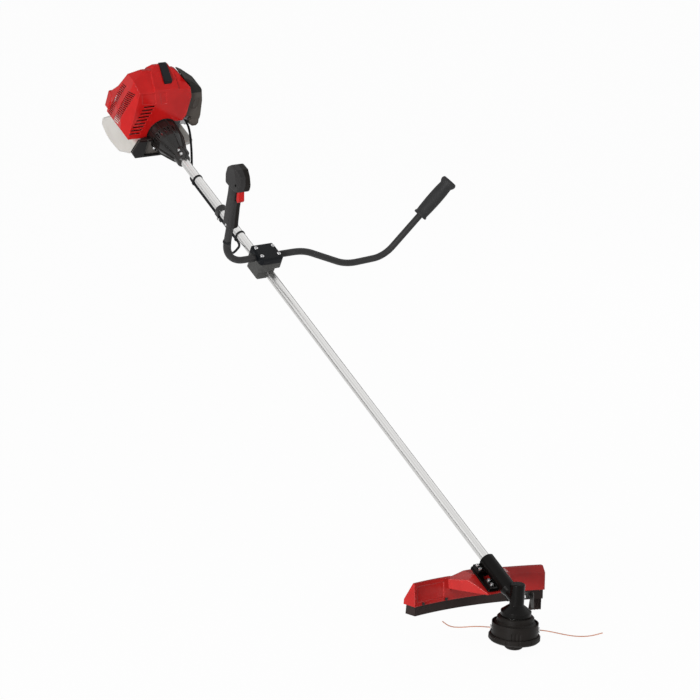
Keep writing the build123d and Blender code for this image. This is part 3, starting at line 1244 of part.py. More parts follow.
def hood_form(inset):
    """Faceted outside of the engine cover, drawn in by inset."""
    def drawn(points):
        face = outline(*points)
        return offset(face, -inset, kind=Kind.INTERSECTION) if inset else face

    front = extrude(station(TUBE_END - 6) * drawn(HOOD_FRONT), 300)
    side = extrude(flank(200) * drawn(HOOD_SIDE), 400)
    plan = extrude(Plane.XY.offset(-100) * drawn(HOOD_PLAN), 400)
    nose_front = extrude(station(TUBE_END - 6) * drawn(NOSE_FRONT), 300)
    nose_side = extrude(flank(200) * drawn(NOSE_SIDE), 400)
    return (front & side & plan) + (nose_front & nose_side)


def front_slots():
    """Slanted column of cooling slots in the cover's front."""
    wide, high = HOOD_SLOT_SIZE
    slots = []
    for i in range(HOOD_SLOTS):
        r = HOOD_SLOT_FIRST[0] + HOOD_SLOT_STEP[0] * i
        n = HOOD_SLOT_FIRST[1] + HOOD_SLOT_STEP[1] * i
        slots.append(block(HOOD_FRONT_S - 5, HOOD_FRONT_S + 12, r - wide / 2, r + wide / 2, n - high / 2,
            n + high / 2))
    return slots


def side_slots():
    """Two columns of louvres in the cover's muffler side, leaning with its rear edge."""
    slots = []
    for column, long in SIDE_SLOT_COLUMNS:
        for row in range(SIDE_SLOT_ROWS):
            n = SIDE_SLOT_FIRST + SIDE_SLOT_PITCH * row
            s = column - SIDE_SLOT_LEAN * n
            bar = Pos(s, n) * Rot(0, 0, -11) * RectangleRounded(long, SIDE_SLOT_HEIGHT, 1)
            slots.append(extrude(flank(140) * bar, 44))
    return slots


def rear_slots():
    """Upright slots in the cover's rear wall, behind the muffler side."""
    half = REAR_SLOT_WIDTH / 2
    n0, n1 = REAR_SLOTS_N
    return [block(TUBE_END + 190, TUBE_END + 224, r - half, r + half, n0, n1) for r in REAR_SLOTS_RIGHT]


def hood_panels():
    """Shallow panels sunk into the cover's front."""
    return [extrude(station(HOOD_FRONT_S - 1) * outline(*panel, radius=2.5), 1 + HOOD_PANEL_DEPTH)
            for panel in HOOD_PANELS]


def engine_cover():
    """Faceted cover over cylinder and muffler, open below, slotted on two sides."""
    inner = hood_form(HOOD_T)
    opened = inner + Pos(0, 0, -20) * inner
    shell = hood_form(0) - opened
    lug = fillet(block(*HOOD_LUG).edges().filter_by(Axis.X), 3)
    shell += lug - inner
    shell -= rod(TUBE_END - 6, HOOD_FRONT_S + 20, HOOD_ARCH_R) + rod(HOOD_FRONT_S + 10, TUBE_END + 294,
    HOOD_REAR_R)
    right0, right1 = BOOT_RIGHT
    window = extrude(flank(right1 + FREE_GAP) * offset(outline(*BOOT_SIDE), FREE_GAP),
        right1 - right0 + 2 * FREE_GAP)
    return upper(shell - window - hood_panels() - front_slots() - side_slots() - rear_slots())


# Intake side


def carburettor():
    """Carburettor with its intake flange, throttle drum, cable bracket and primer's pocket."""
    s0, s1 = CARB_S
    r0, r1 = CARB_RIGHT
    n0, n1 = CARB_N
    body = block(s0 + 4, s1, r0 + 7, r1 - 4, n0, n1)
    body = chamfer(body.edges().filter_by(Axis.Y), 4)
    body += block(s0 + 2, s1 + 2, r1 - 6, r1, n0 + 2, n1)
    body += block(s0 + 2, s1 + 2, r0, r0 + 6, n0 + 2, n1)
    body += across(r0, r1, 11, (s0 + s1) / 2, 12)
    body += upright(n1 - 2, n1 + 4, 9, s0 + 16, r0 + 22)
    body += block(s0, s0 + 5, r0 + 8, r0 + 24, 2, 22)
    s, r = PRIMER_PLACE
    return upper(body - upright(n0 - 1, n0 + PRIMER_TRAVEL + 5.4, PRIMER_R + FREE_GAP, s, r))


def primer_bulb():
    """Soft priming bulb under the carburettor."""
    s, r = PRIMER_PLACE
    n0 = CARB_N[0]
    profile = Plane.XZ * make_face(
        Polyline((0, n0 - 9), (0, n0 + 5), (PRIMER_R, n0 + 5), (PRIMER_R, n0))
        + RadiusArc((PRIMER_R, n0), (0, n0 - 9), PRIMER_R))
    return upper(Pos(s, r, 0) * revolve(profile, Axis.Z))


def air_filter_base():
    """Filter box on the carburettor, with the choke's pin on its rear face."""
    s0, s1 = FILTER_S
    base = extrude(station(s0 + 3) * outline(*FILTER_BASE, radius=3), s1 - s0 - 6)
    base -= extrude(station(s0 + 6) * Pos(-107, 13) * Rectangle(24, 14), s1 - s0 - 12)
    bore = across(CARB_RIGHT[0] - 12, CARB_RIGHT[0] + 1, 6, sum(CARB_S) / 2, 12)
    return upper(base - bore + rod(s1 - 4, s1 + CHOKE_T + 1, 2, *CHOKE_PLACE))


def air_filter_cover():
    """Curved cover over the filter, wrapped round the engine cover's shoulder, with its thumb latch."""
    s0, s1 = FILTER_S
    outer = extrude(station(s0) * outline(*FILTER_OUT, radius=1.5), s1 - s0)
    outer = chamfer(outer.faces().sort_by(Axis.X)[0].edges(), 1)
    inner = extrude(
        station(s0 + FILTER_T) * offset(outline(*FILTER_OUT), -FILTER_T,
            kind=Kind.INTERSECTION), s1 - s0 - 2 * FILTER_T)
    inside = extrude(
        station(s0 + FILTER_GROOVE) * offset(outline(*FILTER_OUT), -FILTER_GROOVE, kind=Kind.INTERSECTION),
        s1 - s0 - 2 * FILTER_GROOVE)
    groove = block(s0 - 1, s1 + 1, -130, -40, *FILTER_PARTING) - inside
    r, n = FILTER_LATCH
    recess = extrude(station(s0 - 1) * Pos(r, n) * RectangleRounded(24, 36, 8), 3)
    latch = extrude(station(s0 + 1) * Pos(r, n - 3) * SlotOverall(26, 9, rotation=90), 4)
    return upper(outer - inner - groove - recess + latch)


def filter_element():
    """Pleated filter block inside the cover."""
    s0, s1 = FILTER_S
    count = 10
    pitch = (s1 - s0 - 16) / count
    zigzag = []
    for i in range(count):
        zigzag += [(s0 + 8 + pitch * i, -110), (s0 + 8 + pitch * (i + 0.5), -103)]
    zigzag += [(s1 - 8, -110), (s1 - 8, -97), (s0 + 8, -97)]
    return upper(extrude(Plane.XY.offset(FILTER_FLOOR + FILTER_T) * outline(*zigzag), 66))


def choke_lever():
    """Choke lever on the rear of the filter box."""
    r, n = CHOKE_PLACE
    s = FILTER_S[1] - 3 + FREE_GAP
    arm = make_hull([(Pos(r, n) * Circle(CHOKE_R)).edge(), (Pos(r, n - CHOKE_ARM) * Circle(4)).edge()])
    lever = extrude(station(s) * arm, CHOKE_T)
    lever += rod(s, s + CHOKE_T + 4, 3.5, r, n - CHOKE_ARM)
    return upper(lever - rod(s - 1, s + 20, 2 + RUN_FIT, r, n))


# Fuel tank and stand


def tank_form(inset):
    """Outside of the tank with the saddle for the engine, drawn in by inset."""
    r0, r1 = TANK_RIGHT
    side = outline(*TANK_SIDE, radius=6)
    if inset:
        side = offset(side, -inset)
    tank = extrude(flank(r1 - inset) * side, r1 - r0 - 2 * inset)
    ends = tank.faces().sort_by(Axis.Y)
    tank = fillet(ends[-1].edges() + ends[0].edges(), TANK_ROUND - inset)
    tank -= rod(TUBE_END - 6, TUBE_END + 394, TANK_SADDLE_R + inset)
    tank -= block(TUBE_END - 6, TUBE_END + 394, -TANK_SADDLE_R - inset, TANK_SADDLE_R + inset, -20 - inset,
    10)
    return tank - block(TUBE_END - 6, TUBE_END + 394, r0 - 1, -40 + inset, -28 - inset, 10)


def fuel_tank():
    """Blow-moulded hollow tank under the engine, with the engine's saddle and the filler neck on the left."""
    r0 = TANK_RIGHT[0]
    tank = tank_form(0) + across(r0 - NECK_TANK_RISE, r0 + 4, NECK_TANK_R, *CAP_PLACE) - tank_form(TANK_WALL)
    return upper(tank - across(r0 - NECK_TANK_RISE - 1, r0 + 6, NECK_TANK_R - TANK_WALL, *CAP_PLACE))


def fuel_cap():
    """Knurled filler cap over the neck."""
    r0 = TANK_RIGHT[0]
    top = r0 - FREE_GAP - CAP_DEPTH
    cap = across(top, r0 - FREE_GAP, CAP_R, *CAP_PLACE)
    cap -= across(r0 - NECK_TANK_RISE - FREE_GAP, r0, NECK_TANK_R + FREE_GAP, *CAP_PLACE)
    s, n = CAP_PLACE
    rim = CAP_R + 0.4
    turns = [radians(20 * i) for i in range(18)]
    grooves = [across(top - 1, r0, 1.6, s + rim * cos(turn), n + rim * sin(turn)) for turn in turns]
    bar = block(s - CAP_R + 3, s + CAP_R - 3, top - 4, top, n - 3.5, n + 3.5)
    return upper(cap - grooves + fillet(bar.edges().filter_by(Axis.Y), 3))


def engine_stand():
    """Front stand on the clutch housing's flange that carries the tank and keeps it off the ground."""
    s0, s1 = STAND_S
    plate = extrude(station(s0) * outline(*STAND_FRONT, radius=4), s1 - s0)
    pocket = extrude(station(s0) * outline(*STAND_POCKET, radius=3), STAND_POCKET_DEPTH)
    return upper(plate - pocket - rod(s0 - 1, s1 + 1, STAND_ARCH_R))


# Starter


def flywheel():
    """Flywheel with its ring of fan blades."""
    s0, s1 = FLYWHEEL_S
    wheel = rod(s0, s0 + 8, FLYWHEEL_R - 4) + rod(s0, s1, 18)
    blade = block(s0, s1, -1.2, 1.2, 28, FLYWHEEL_R)
    blades = [Rot(360 / FLYWHEEL_BLADES * i, 0, 0) * blade for i in range(FLYWHEEL_BLADES)]
    return upper(wheel + blades - rod(s0 - 1, s1 + 1, CRANK_END_R))


def starter_housing():
    """Recoil housing round the flywheel with vents, pulley axle and rope guide."""
    rear = STARTER_END
    cup = rod(CASE_END, rear, STARTER_R)
    cup = chamfer(cup.faces().sort_by(Axis.X)[-1].edges(), 8)
    cup -= rod(CASE_END - 1, rear - 10, STARTER_R - STARTER_WALL)
    cup -= rod(rear - 11, rear - STARTER_WALL, STARTER_R - 11)
    vent = block(rear - 12, rear + 1, -2.5, 2.5, 26, 48)
    vents = [Rot(20 * i, 0, 0) * vent for i in range(18)]
    side = block(TUBE_END + 186, TUBE_END + 210, -3, 3, 40, 70)
    cup -= vents + [Rot(90 + 15 * i, 0, 0) * side for i in range(1, 12)]
    axle = rod(PULLEY_S[0] - 2, rear - 1, AXLE_R) + rod(PULLEY_S[1] + FREE_GAP, rear - 1, AXLE_R + 4)
    rope_r = -PULLEY_GROOVE_R - ROPE_R
    guide = upright(40, GUIDE_TOP - 0.4, 8, ROPE_S, rope_r) - rod(CASE_END, rear - 10,
        STARTER_R - STARTER_WALL)
    hole = upright(20, GUIDE_TOP + 1, ROPE_R + 0.6, ROPE_S, rope_r)
    return upper(cup + axle + guide - hole)


def starter_pulley():
    """Grooved rope pulley on the housing's axle, with the claw ring that drives the flywheel."""
    s0, s1 = PULLEY_S
    pulley = turned_on_tube(
        (s0, AXLE_R + RUN_FIT), (s0, PULLEY_R), (s0 + 3, PULLEY_R), (s0 + 4, PULLEY_GROOVE_R),
        (s1 - 4, PULLEY_GROOVE_R), (s1 - 3, PULLEY_R), (s1, PULLEY_R), (s1, AXLE_R + RUN_FIT))
    claw = [Rot(120 * i, 0, 0) * block(s0 - 6, s0 + 1, -4, 4, 12, 18) for i in range(3)]
    return upper(pulley + claw)


def starter_grip():
    """Pull grip, rounded, with the rope's knot recess."""
    long, wide, high = STARTER_GRIP
    rope_r = -PULLEY_GROOVE_R - ROPE_R
    grip = extrude(Plane.XY.offset(GUIDE_TOP) * Pos(ROPE_S, rope_r) * SlotOverall(long, wide,
        rotation=90), high)
    grip = fillet(grip.faces().sort_by(Axis.Z)[-1].edges(), 5)
    finger = [Pos(ROPE_S + i * (wide / 2 + 8.5), rope_r, GUIDE_TOP + 5) * Rot(90, 0, 0) * Cylinder(10,
        long) for i in (-1, 1)]
    return upper(grip - finger - upright(GUIDE_TOP - 1, GUIDE_TOP + 6, ROPE_R, ROPE_S, rope_r))


def starter_rope():
    """Rope from the pulley's groove to the grip."""
    rope_r = -PULLEY_GROOVE_R - ROPE_R
    return upper(upright(2, GUIDE_TOP + 6, ROPE_R, ROPE_S, rope_r))


# Throttle cable: points chosen by hand along the tube (s, right, up), from the grip to the carburettor
CABLE_ROUTE = [
    (1239.8, 121.5, 131.1), (1238, 120, 112), (1240, 116.5, 92), (1245, 109, 70), (1254, 97, 45), (1266,
        80, 21),
    (1282, 60, 3), (1302, 36, -9), (1324, CABLE_RIGHT, CABLE_UP), (1607, CABLE_RIGHT, CABLE_UP), (1630,
        -7, -20),
    (1654, -21, -17), (1681, -34, -12), (1708, -46, -4), (1738, -58, 4), (1768, -70, 10), (1796, -79, 13),
    (1823, -84, 13)]


def throttle_cable():
    """Cable from the throttle grip, under the tube and up to the carburettor."""
    return upper(cord("throttle_cable", CABLE_ROUTE, CABLE_R))


# Fasteners


def clamp_bolts_m5():
    """Socket bolts of the gear case's lugs, the clutch housing's clamp and the hanger."""
    bolts = [lower(Pos(s, r, LUG_N[1]) * screw(M5, LUG_N[1] - PAD_N + GUARD_T)) for s, r in lug_bolts()]
    bolts += [upper(Pos(s, BELL_EAR_HALF, BELL_EAR_N - 6) * Rot(-90, 0, 0) * screw(M5, 2 * BELL_EAR_HALF + 3))
              for s in BELL_BOLTS_S]
    hanger = Pos(HANGER_S, HANGER_EAR_SHIFT + HANGER_EAR_HALF, 7 - HANGER_EAR_DROP) * Rot(-90, 0, 0) * screw(
        M5, 2 * HANGER_EAR_HALF + 4)
    return bolts + [upper(hanger)]


def save(name, shape):
    """Write one node; a list becomes a group of separate solids."""
    node = Compound(children=list(shape)) if isinstance(shape, (list, tuple)) else shape
    export_step(node, f"parts/{name}.step")


def main():
    """Build every node."""
    os.makedirs("parts", exist_ok=True)
    save("bump_knob", bump_knob())
    save("head_cover", head_cover())
    save("head_housing", head_housing())
    save("line_eyelets", line_eyelets())
    save("spool", spool())
    save("bump_spring", bump_spring())
    save("output_spindle", output_spindle())
    save("receiver_flange", receiver_flange())
    save("line_end_left", line_end("line_end_left", LINE_LEFT, 180))
    save("line_end_right", line_end("line_end_right", LINE_RIGHT, 0))
    save("gear_case", gear_case())
    save("bevel_gear", crown_gear())
    save("pinion", pinion())
    save("bearings", bearings())
    save("guard", guard())
    save("guard_bracket", guard_bracket())
    save("guard_skirt", guard_skirt())
    save("skirt_screws", skirt_screws())
    save("shaft_tube", shaft_tube())
    save("shaft_bushings", shaft_bushings())
    save("drive_shaft", drive_shaft())
    save("cable_rings", cable_rings())
    save("hanger_clamp", hanger_clamp())
    save("handlebar", handlebar())
    save("left_grip", left_grip())
    save("handle_clamp_cap", handle_clamp_cap())
    save("handle_clamp_base", handle_clamp_base())
    save("handle_clamp_screws", handle_clamp_screws())
    right_shell, left_shell = throttle_shells()
    save("throttle_shell_right", right_shell)
    save("throttle_shell_left", left_shell)
    save("throttle_trigger", throttle_trigger())
    save("throttle_lock", throttle_lock())
    save("stop_switch", stop_switch())
    for build in (clutch_housing, clutch_drum, clutch_shoes, crankshaft, crankcase, cylinder, spark_plug,
                  spark_plug_boot, muffler, engine_cover, carburettor, primer_bulb, air_filter_base,
                  air_filter_cover, filter_element, choke_lever, fuel_tank, fuel_cap, engine_stand, flywheel,
                  starter_housing, starter_pulley, starter_grip, starter_rope, throttle_cable):
        save(build.__name__, build())
    save("clamp_bolts", clamp_bolts_m5())
    save("line_cutter", line_cutter())


main()
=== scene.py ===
"""A petrol string trimmer with a wide handlebar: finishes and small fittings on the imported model."""

from __future__ import annotations

import logging
import math
from dataclasses import dataclass
from enum import Enum
from typing import Any, Iterable, Sequence

import bmesh
import bpy
from mathutils import Matrix, Vector

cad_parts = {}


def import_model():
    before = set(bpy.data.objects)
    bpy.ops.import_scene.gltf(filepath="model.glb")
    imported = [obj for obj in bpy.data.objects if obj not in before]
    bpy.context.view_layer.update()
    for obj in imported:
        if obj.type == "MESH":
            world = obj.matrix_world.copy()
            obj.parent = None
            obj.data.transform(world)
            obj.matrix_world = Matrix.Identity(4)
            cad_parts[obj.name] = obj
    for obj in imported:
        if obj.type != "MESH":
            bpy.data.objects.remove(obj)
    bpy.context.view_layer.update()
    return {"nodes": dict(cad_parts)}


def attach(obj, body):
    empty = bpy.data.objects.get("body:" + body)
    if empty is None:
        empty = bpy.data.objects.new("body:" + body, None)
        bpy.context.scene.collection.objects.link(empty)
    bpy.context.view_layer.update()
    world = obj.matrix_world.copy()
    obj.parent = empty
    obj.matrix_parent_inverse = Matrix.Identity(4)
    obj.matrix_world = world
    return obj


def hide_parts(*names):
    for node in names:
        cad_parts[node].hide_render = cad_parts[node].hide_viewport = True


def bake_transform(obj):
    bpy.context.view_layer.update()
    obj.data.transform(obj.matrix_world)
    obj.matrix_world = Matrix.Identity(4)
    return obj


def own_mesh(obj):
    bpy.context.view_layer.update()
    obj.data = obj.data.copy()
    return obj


LOG = logging.getLogger("trimmer")
MM = 0.001

Colour = tuple[float, float, float]
Point = tuple[float, float, float]


# Shader tools

BEVEL_SAMPLES = 6
# Where the edge mask starts and where it is full; the mask lays the painted edge highlight.
EDGE_START = 0.02
EDGE_FULL = 0.25
WHITE = (1.0, 1.0, 1.0)


class Wire:
    """A node's output that can be used in arithmetic."""

    def __init__(self, graph: Graph, socket: bpy.types.NodeSocket) -> None:
        """Hold the socket and the graph that it belongs to."""
        self.graph = graph
        self.socket = socket

    def _math(self, operation: str, *values: Any) -> Wire:
        """Add a Math node.

        Args:
            operation: The Math node's operation.
            values: Its inputs in order, wires or numbers.

        Returns:
            The result.
        """
        return self.graph.wire("ShaderNodeMath", {"operation": operation}, dict(enumerate(values)))

    def __add__(self, other: Any) -> Wire:
        """Sum."""
        return self._math("ADD", self, other)

    def __radd__(self, other: Any) -> Wire:
        """Sum with a number on the left."""
        return self._math("ADD", other, self)

    def __sub__(self, other: Any) -> Wire:
        """Difference."""
        return self._math("SUBTRACT", self, other)

    def __rsub__(self, other: Any) -> Wire:
        """Difference from a number on the left."""
        return self._math("SUBTRACT", other, self)

    def __mul__(self, other: Any) -> Wire:
        """Product."""
        return self._math("MULTIPLY", self, other)

    def __rmul__(self, other: Any) -> Wire:
        """Product with a number on the left."""
        return self._math("MULTIPLY", other, self)

    def lowest(self, other: Any) -> Wire:
        """The lower of two values."""
        return self._math("MINIMUM", self, other)

    def between(self, low: float, high: float) -> Wire:
        """Rise smoothly from 0 at low to 1 at high."""
        return self.graph.wire(
            "ShaderNodeMapRange", {"interpolation_type": "SMOOTHSTEP"},
            {"Value": self, "From Min": low, "From Max": high})


class Graph:
    """Builds the nodes of one material."""

    def __init__(self, tree: bpy.types.NodeTree) -> None:
        """Start from an empty tree."""
        self.tree = tree
        self.tree.nodes.clear()

    def node(self, kind: str, settings: dict[str, Any] | None = None,
             inputs: dict[Any, Any] | None = None) -> bpy.types.Node:
        """Add any node.

        Args:
            kind: The node's type.
            settings: Its properties, set first.
            inputs: Values or wires by the socket's name or number.

        Returns:
            The node.
        """
        made = self.tree.nodes.new(kind)
        for name, value in (settings or {}).items():
            setattr(made, name, value)
        for name, value in (inputs or {}).items():
            socket = made.inputs[name]
            if isinstance(value, Wire):
                self.tree.links.new(value.socket, socket)
            elif socket.type == "RGBA":
                socket.default_value = (*value, 1.0)
            else:
                socket.default_value = value
        return made

    def wire(self, kind: str, settings: dict[str, Any] | None = None, inputs: dict[Any, Any] | None = None,
             output: Any = 0) -> Wire:
        """Add any node and take one of its outputs."""
        return Wire(self, self.node(kind, settings, inputs).outputs[output])

    def place(self) -> Wire:
        """Object coordinates, in metres."""
        return self.wire("ShaderNodeTexCoord", output="Object")

    def turned(self, turn: Sequence[float], stretch: Sequence[float]) -> Wire:
        """Object coordinates, turned and stretched.

        Args:
            turn: Euler angles that bring the pattern's axes onto x, y and z.
            stretch: Scale of each axis after the turn.

        Returns:
            The coordinates.
        """
        spun = self.wire("ShaderNodeVectorRotate", {"rotation_type": "EULER_XYZ"},
                         {"Vector": self.place(), "Rotation": tuple(turn)})
        return self.wire("ShaderNodeVectorMath", {"operation": "MULTIPLY"}, {0: spun, 1: tuple(stretch)})

    def dot(self, first: Wire, second: Any) -> Wire:
        """Dot product of two vectors."""
        return self.wire("ShaderNodeVectorMath", {"operation": "DOT_PRODUCT"}, {0: first, 1: second}, "Value")

    def along(self, axis: Sequence[float]) -> Wire:
        """Distance of the place along a direction, in metres."""
        return self.dot(self.place(), tuple(axis))

    def noise(self, scale: float, detail: float, roughness: float, at: Wire | None = None) -> Wire:
        """Smooth noise from 0 to 1, with scale in waves per metre."""
        return self.wire("ShaderNodeTexNoise", None, {
            "Vector": at or self.place(), "Scale": scale, "Detail": detail, "Roughness": roughness})

    def cells(self, scale: float) -> Wire:
        """Distance to the nearest cell centre, with scale in cells per metre."""
        return self.wire("ShaderNodeTexVoronoi", None, {"Vector": self.place(), "Scale": scale})

    def mixed(self, first: Any, second: Any, share: Any) -> Wire:
        """Mix two colours by a share from 0 to 1."""
        return self.wire("ShaderNodeMix", {"data_type": "RGBA"}, {0: share, 6: first, 7: second}, 2)

    def rounded(self, radius: float) -> Wire:
        """Normal with its edges rounded."""
        return self.wire("ShaderNodeBevel", {"samples": BEVEL_SAMPLES}, {"Radius": radius})

    def edges(self, soft: Wire) -> Wire:
        """Mask of the edges that a rounded normal turns away from the face."""
        flat = self.wire("ShaderNodeNewGeometry", output="Normal")
        return (1 - self.dot(soft, flat)).between(EDGE_START, EDGE_FULL)

    def bump(self, height: Wire, depth: float, normal: Wire | None = None) -> Wire:
        """Normal of a height field.

        Args:
            height: The field, from 0 to 1.
            depth: Its full height in metres.
            normal: Normal that it is laid on, or none for the surface's own.

        Returns:
            The normal.
        """
        inputs = {"Height": height, "Distance": depth, "Strength": 1.0}
        if normal is not None:
            inputs["Normal"] = normal
        return self.wire("ShaderNodeBump", None, inputs)

    def surface(self, **inputs: Any) -> None:
        """Close the graph with a Principled shader.

        Args:
            inputs: Values or wires by the socket's name, with underscores for spaces.
        """
        named = {name.replace("_", " "): value for name, value in inputs.items()}
        shader = self.wire("ShaderNodeBsdfPrincipled", None, named)
        self.node("ShaderNodeOutputMaterial", None, {"Surface": shader})


# Places along the tube


@dataclass(frozen=True)
class TubeAxes:
    """Frame along the shaft: distance from the gear case, right and up, in millimetres."""

    rise: float = math.radians(30.0)
    roll: float = math.radians(6.0)
    height: float = 118.0

    def axes(self) -> tuple[Vector, Vector, Vector]:
        """Directions of the frame.

        Returns:
            Unit vectors along the tube, right and up.
        """
        along = Vector((-math.cos(self.rise), 0.0, math.sin(self.rise)))
        level = Vector((math.sin(self.rise), 0.0, math.cos(self.rise)))
        up = level * math.cos(self.roll) - Vector((0.0, 1.0, 0.0)) * math.sin(self.roll)
        return along, up.cross(along), up

    def at(self, along: float, right: float, up: float) -> Vector:
        """Place along the tube, right of it and above it, in metres."""
        a, r, u = self.axes()
        return (Vector((0.0, 0.0, self.height)) + a * along + r * right + u * up) * MM


TUBE = TubeAxes()


@dataclass(frozen=True)
class HandleAxes:
    """Leaning plane of the handlebar, with the throttle grip that stands in it, in millimetres."""

    lean: float = math.radians(10.0)
    station: float = 1217.0
    side: float = 135.0
    bar_height: float = 36.0
    reach: float = 112.0

    def on_bar(self, left: float, high: float) -> Vector:
        """Place in the plane, left of the tube and over the clamp, in metres."""
        along = self.station + high * math.sin(self.lean)
        return TUBE.at(along, -left, self.bar_height + high * math.cos(self.lean))

    def stand(self, ahead: float, high: float, right: float) -> Matrix:
        """Stand of a screw on the throttle grip.

        Args:
            ahead: Distance towards the fingers, in millimetres.
            high: Distance up the grip.
            right: Distance right of its middle.

        Returns:
            Matrix at that place, in metres, whose z axis points right.
        """
        along, aside, up = TUBE.axes()
        fingers = up * math.sin(self.lean) - along * math.cos(self.lean)
        tall = along * math.sin(self.lean) + up * math.cos(self.lean)
        matrix = Matrix((fingers, tall, aside)).transposed().to_4x4()
        foot = self.on_bar(-self.side, self.reach)
        matrix.translation = foot + (fingers * ahead + tall * high + aside * right) * MM
        return matrix


HANDLE = HandleAxes()


def facing(place: Vector, outwards: Vector) -> Matrix:
    """Stand of a piece on a surface.

    Args:
        place: Place on the surface, in metres.
        outwards: Direction away from it.

    Returns:
        Matrix at the place whose z axis points outwards.
    """
    matrix = outwards.to_track_quat("Z", "Y").to_matrix().to_4x4()
    matrix.translation = place
    return matrix


# Finishes


@dataclass(frozen=True)
class Finish:
    """What every finish has; its edges are rounded by a radius in metres."""

    name: str
    slot: str
    colour: Colour
    shade: Colour
    roughness: float
    edge: float = 0.0009

    def shader(self, graph: Graph) -> None:
        """Write the finish's nodes into an empty graph."""
        raise NotImplementedError

    def drift(self, graph: Graph, pattern: Wire, low: float, high: float) -> Wire:
        """Colour that goes from the shade to the full colour as a pattern rises from low to high."""
        return graph.mixed(self.shade, self.colour, pattern.between(low, high))

    def paint_edge_highlight(self, graph: Graph, body: Wire, edges: Wire, gain: float, lift: float, share: float) -> Wire:
        """Colour with a painted highlight along its edges, which show a share of the full colour, lightened
        by a gain and a lift.
        """
        # Lighter edges: a painted highlight along the rounded edges.
        highlight_colour = tuple(min(1.0, c * gain + lift) for c in self.colour)
        return graph.mixed(body, highlight_colour, edges * share)

    def material(self) -> bpy.types.Material:
        """Make the material, or find it if it is made.

        Returns:
            The material.
        """
        found = bpy.data.materials.get(self.name)
        if found is not None:
            return found
        made = bpy.data.materials.new(self.name)
        made.use_nodes = True
        made.diffuse_color = (*self.colour, 1.0)
        self.shader(Graph(made.node_tree))
        return made


@dataclass(frozen=True)
class GlossPlastic(Finish):
    """Glossy moulded plastic with a faint orange peel and small scuffs."""

    coat: float = 0.04
    coat_roughness: float = 0.1
    peel: float = 0.00002
    sheen_level: float = 0.16

    def shader(self, graph: Graph) -> None:
        """Write the finish's nodes.

        Args:
            graph: Empty graph that they go into.
        """
        soft = graph.rounded(self.edge)
        edges = graph.edges(soft)
        cloud = graph.noise(scale=14.0, detail=4.0, roughness=0.55)
        fine = graph.noise(scale=900.0, detail=2.0, roughness=0.5)
        scuff = graph.noise(scale=160.0, detail=5.0, roughness=0.7).between(low=0.62, high=0.78)
        body = self.drift(graph, cloud, low=0.25, high=0.7)
        # Edges lighter in colour: a painted highlight along the rounded edges.
        graph.surface(
            Base_Color=self.paint_edge_highlight(graph, body, edges, gain=1.2, lift=0.05, share=0.55),
            Roughness=self.roughness + 0.05 * cloud + 0.10 * scuff, Coat_Weight=self.coat,
            Coat_Roughness=self.coat_roughness, Specular_IOR_Level=self.sheen_level,
            Normal=graph.bump(fine, self.peel, soft))


@dataclass(frozen=True)
class GrainPlastic(Finish):
    """Moulded plastic with a fine spark-eroded grain."""

    grain: float = 1400.0
    fine_ratio: float = 1.7
    depth: float = 0.00004
    sheen_level: float = 0.14

    def tone(self, graph: Graph, cloud: Wire) -> Wire:
        """Colour of the surface before the painted edge highlight is laid on."""
        return self.drift(graph, cloud, low=0.3, high=0.7)

    def shader(self, graph: Graph) -> None:
        """Write the finish's nodes.

        Args:
            graph: Empty graph that they go into.
        """
        soft = graph.rounded(self.edge)
        edges = graph.edges(soft)
        cloud = graph.noise(scale=18.0, detail=4.0, roughness=0.6)
        pits = graph.cells(self.grain)
        fine = graph.noise(scale=self.grain * self.fine_ratio, detail=2.0, roughness=0.6)
        body = self.tone(graph, cloud)
        # Edges lighter in colour: a painted highlight along the rounded edges.
        graph.surface(
            Base_Color=self.paint_edge_highlight(graph, body, edges, gain=1.5, lift=0.012, share=0.5),
            Roughness=self.roughness + 0.12 * cloud - 0.06 * edges, Specular_IOR_Level=self.sheen_level,
            Normal=graph.bump(pits * 0.6 + fine * 0.4, self.depth, soft))


@dataclass(frozen=True)
class TwoTonePlastic(GrainPlastic):
    """Grained plastic with a second colour between two levels along a direction."""

    second: Colour = (0.1, 0.1, 0.1)
    second_shade: float = 0.8
    axis: Point = (0.0, 0.0, 1.0)
    low: float = 0.0
    high: float = 1.0
    blend: float = 0.0004

    def tone(self, graph: Graph, cloud: Wire) -> Wire:
        """Colour of the surface before the painted edge highlight is laid on.

        Args:
            graph: Graph that the nodes go into.
            cloud: Pattern that both colours drift by.

        Returns:
            The colour.
        """
        place = graph.along(self.axis)
        inside = place.between(self.low, self.low + self.blend) * (
            1 - place.between(self.high, self.high + self.blend))
        darker = tuple(self.second_shade * c for c in self.second)
        other = graph.mixed(darker, self.second, cloud.between(low=0.3, high=0.7))
        return graph.mixed(super().tone(graph, cloud), other, inside)


@dataclass(frozen=True)
class DrawnTube(Finish):
    """Drawn aluminium tube with fine and wide lines along its length."""

    turn: Point = (0.0, 0.0, 0.0)
    fine_lines: Point = (0.5, 420.0, 420.0)
    wide_lines: Point = (0.3, 120.0, 120.0)
    depth: float = 0.0000003

    def shader(self, graph: Graph) -> None:
        """Write the finish's nodes.

        Args:
            graph: Empty graph that they go into.
        """
        along_fine = graph.turned(self.turn, self.fine_lines)
        along_wide = graph.turned(self.turn, self.wide_lines)
        lines = graph.noise(scale=1.0, detail=3.0, roughness=0.5, at=along_fine)
        wide = graph.noise(scale=1.0, detail=2.0, roughness=0.5, at=along_wide)
        cloud = graph.noise(scale=6.0, detail=3.0, roughness=0.6)
        graph.surface(
            Base_Color=self.drift(graph, lines * 0.45 + wide * 0.55, low=0.36, high=0.62), Metallic=1.0,
            Roughness=self.roughness + 0.05 * cloud + 0.05 * lines,
            Normal=graph.bump(lines, self.depth, graph.rounded(self.edge)))


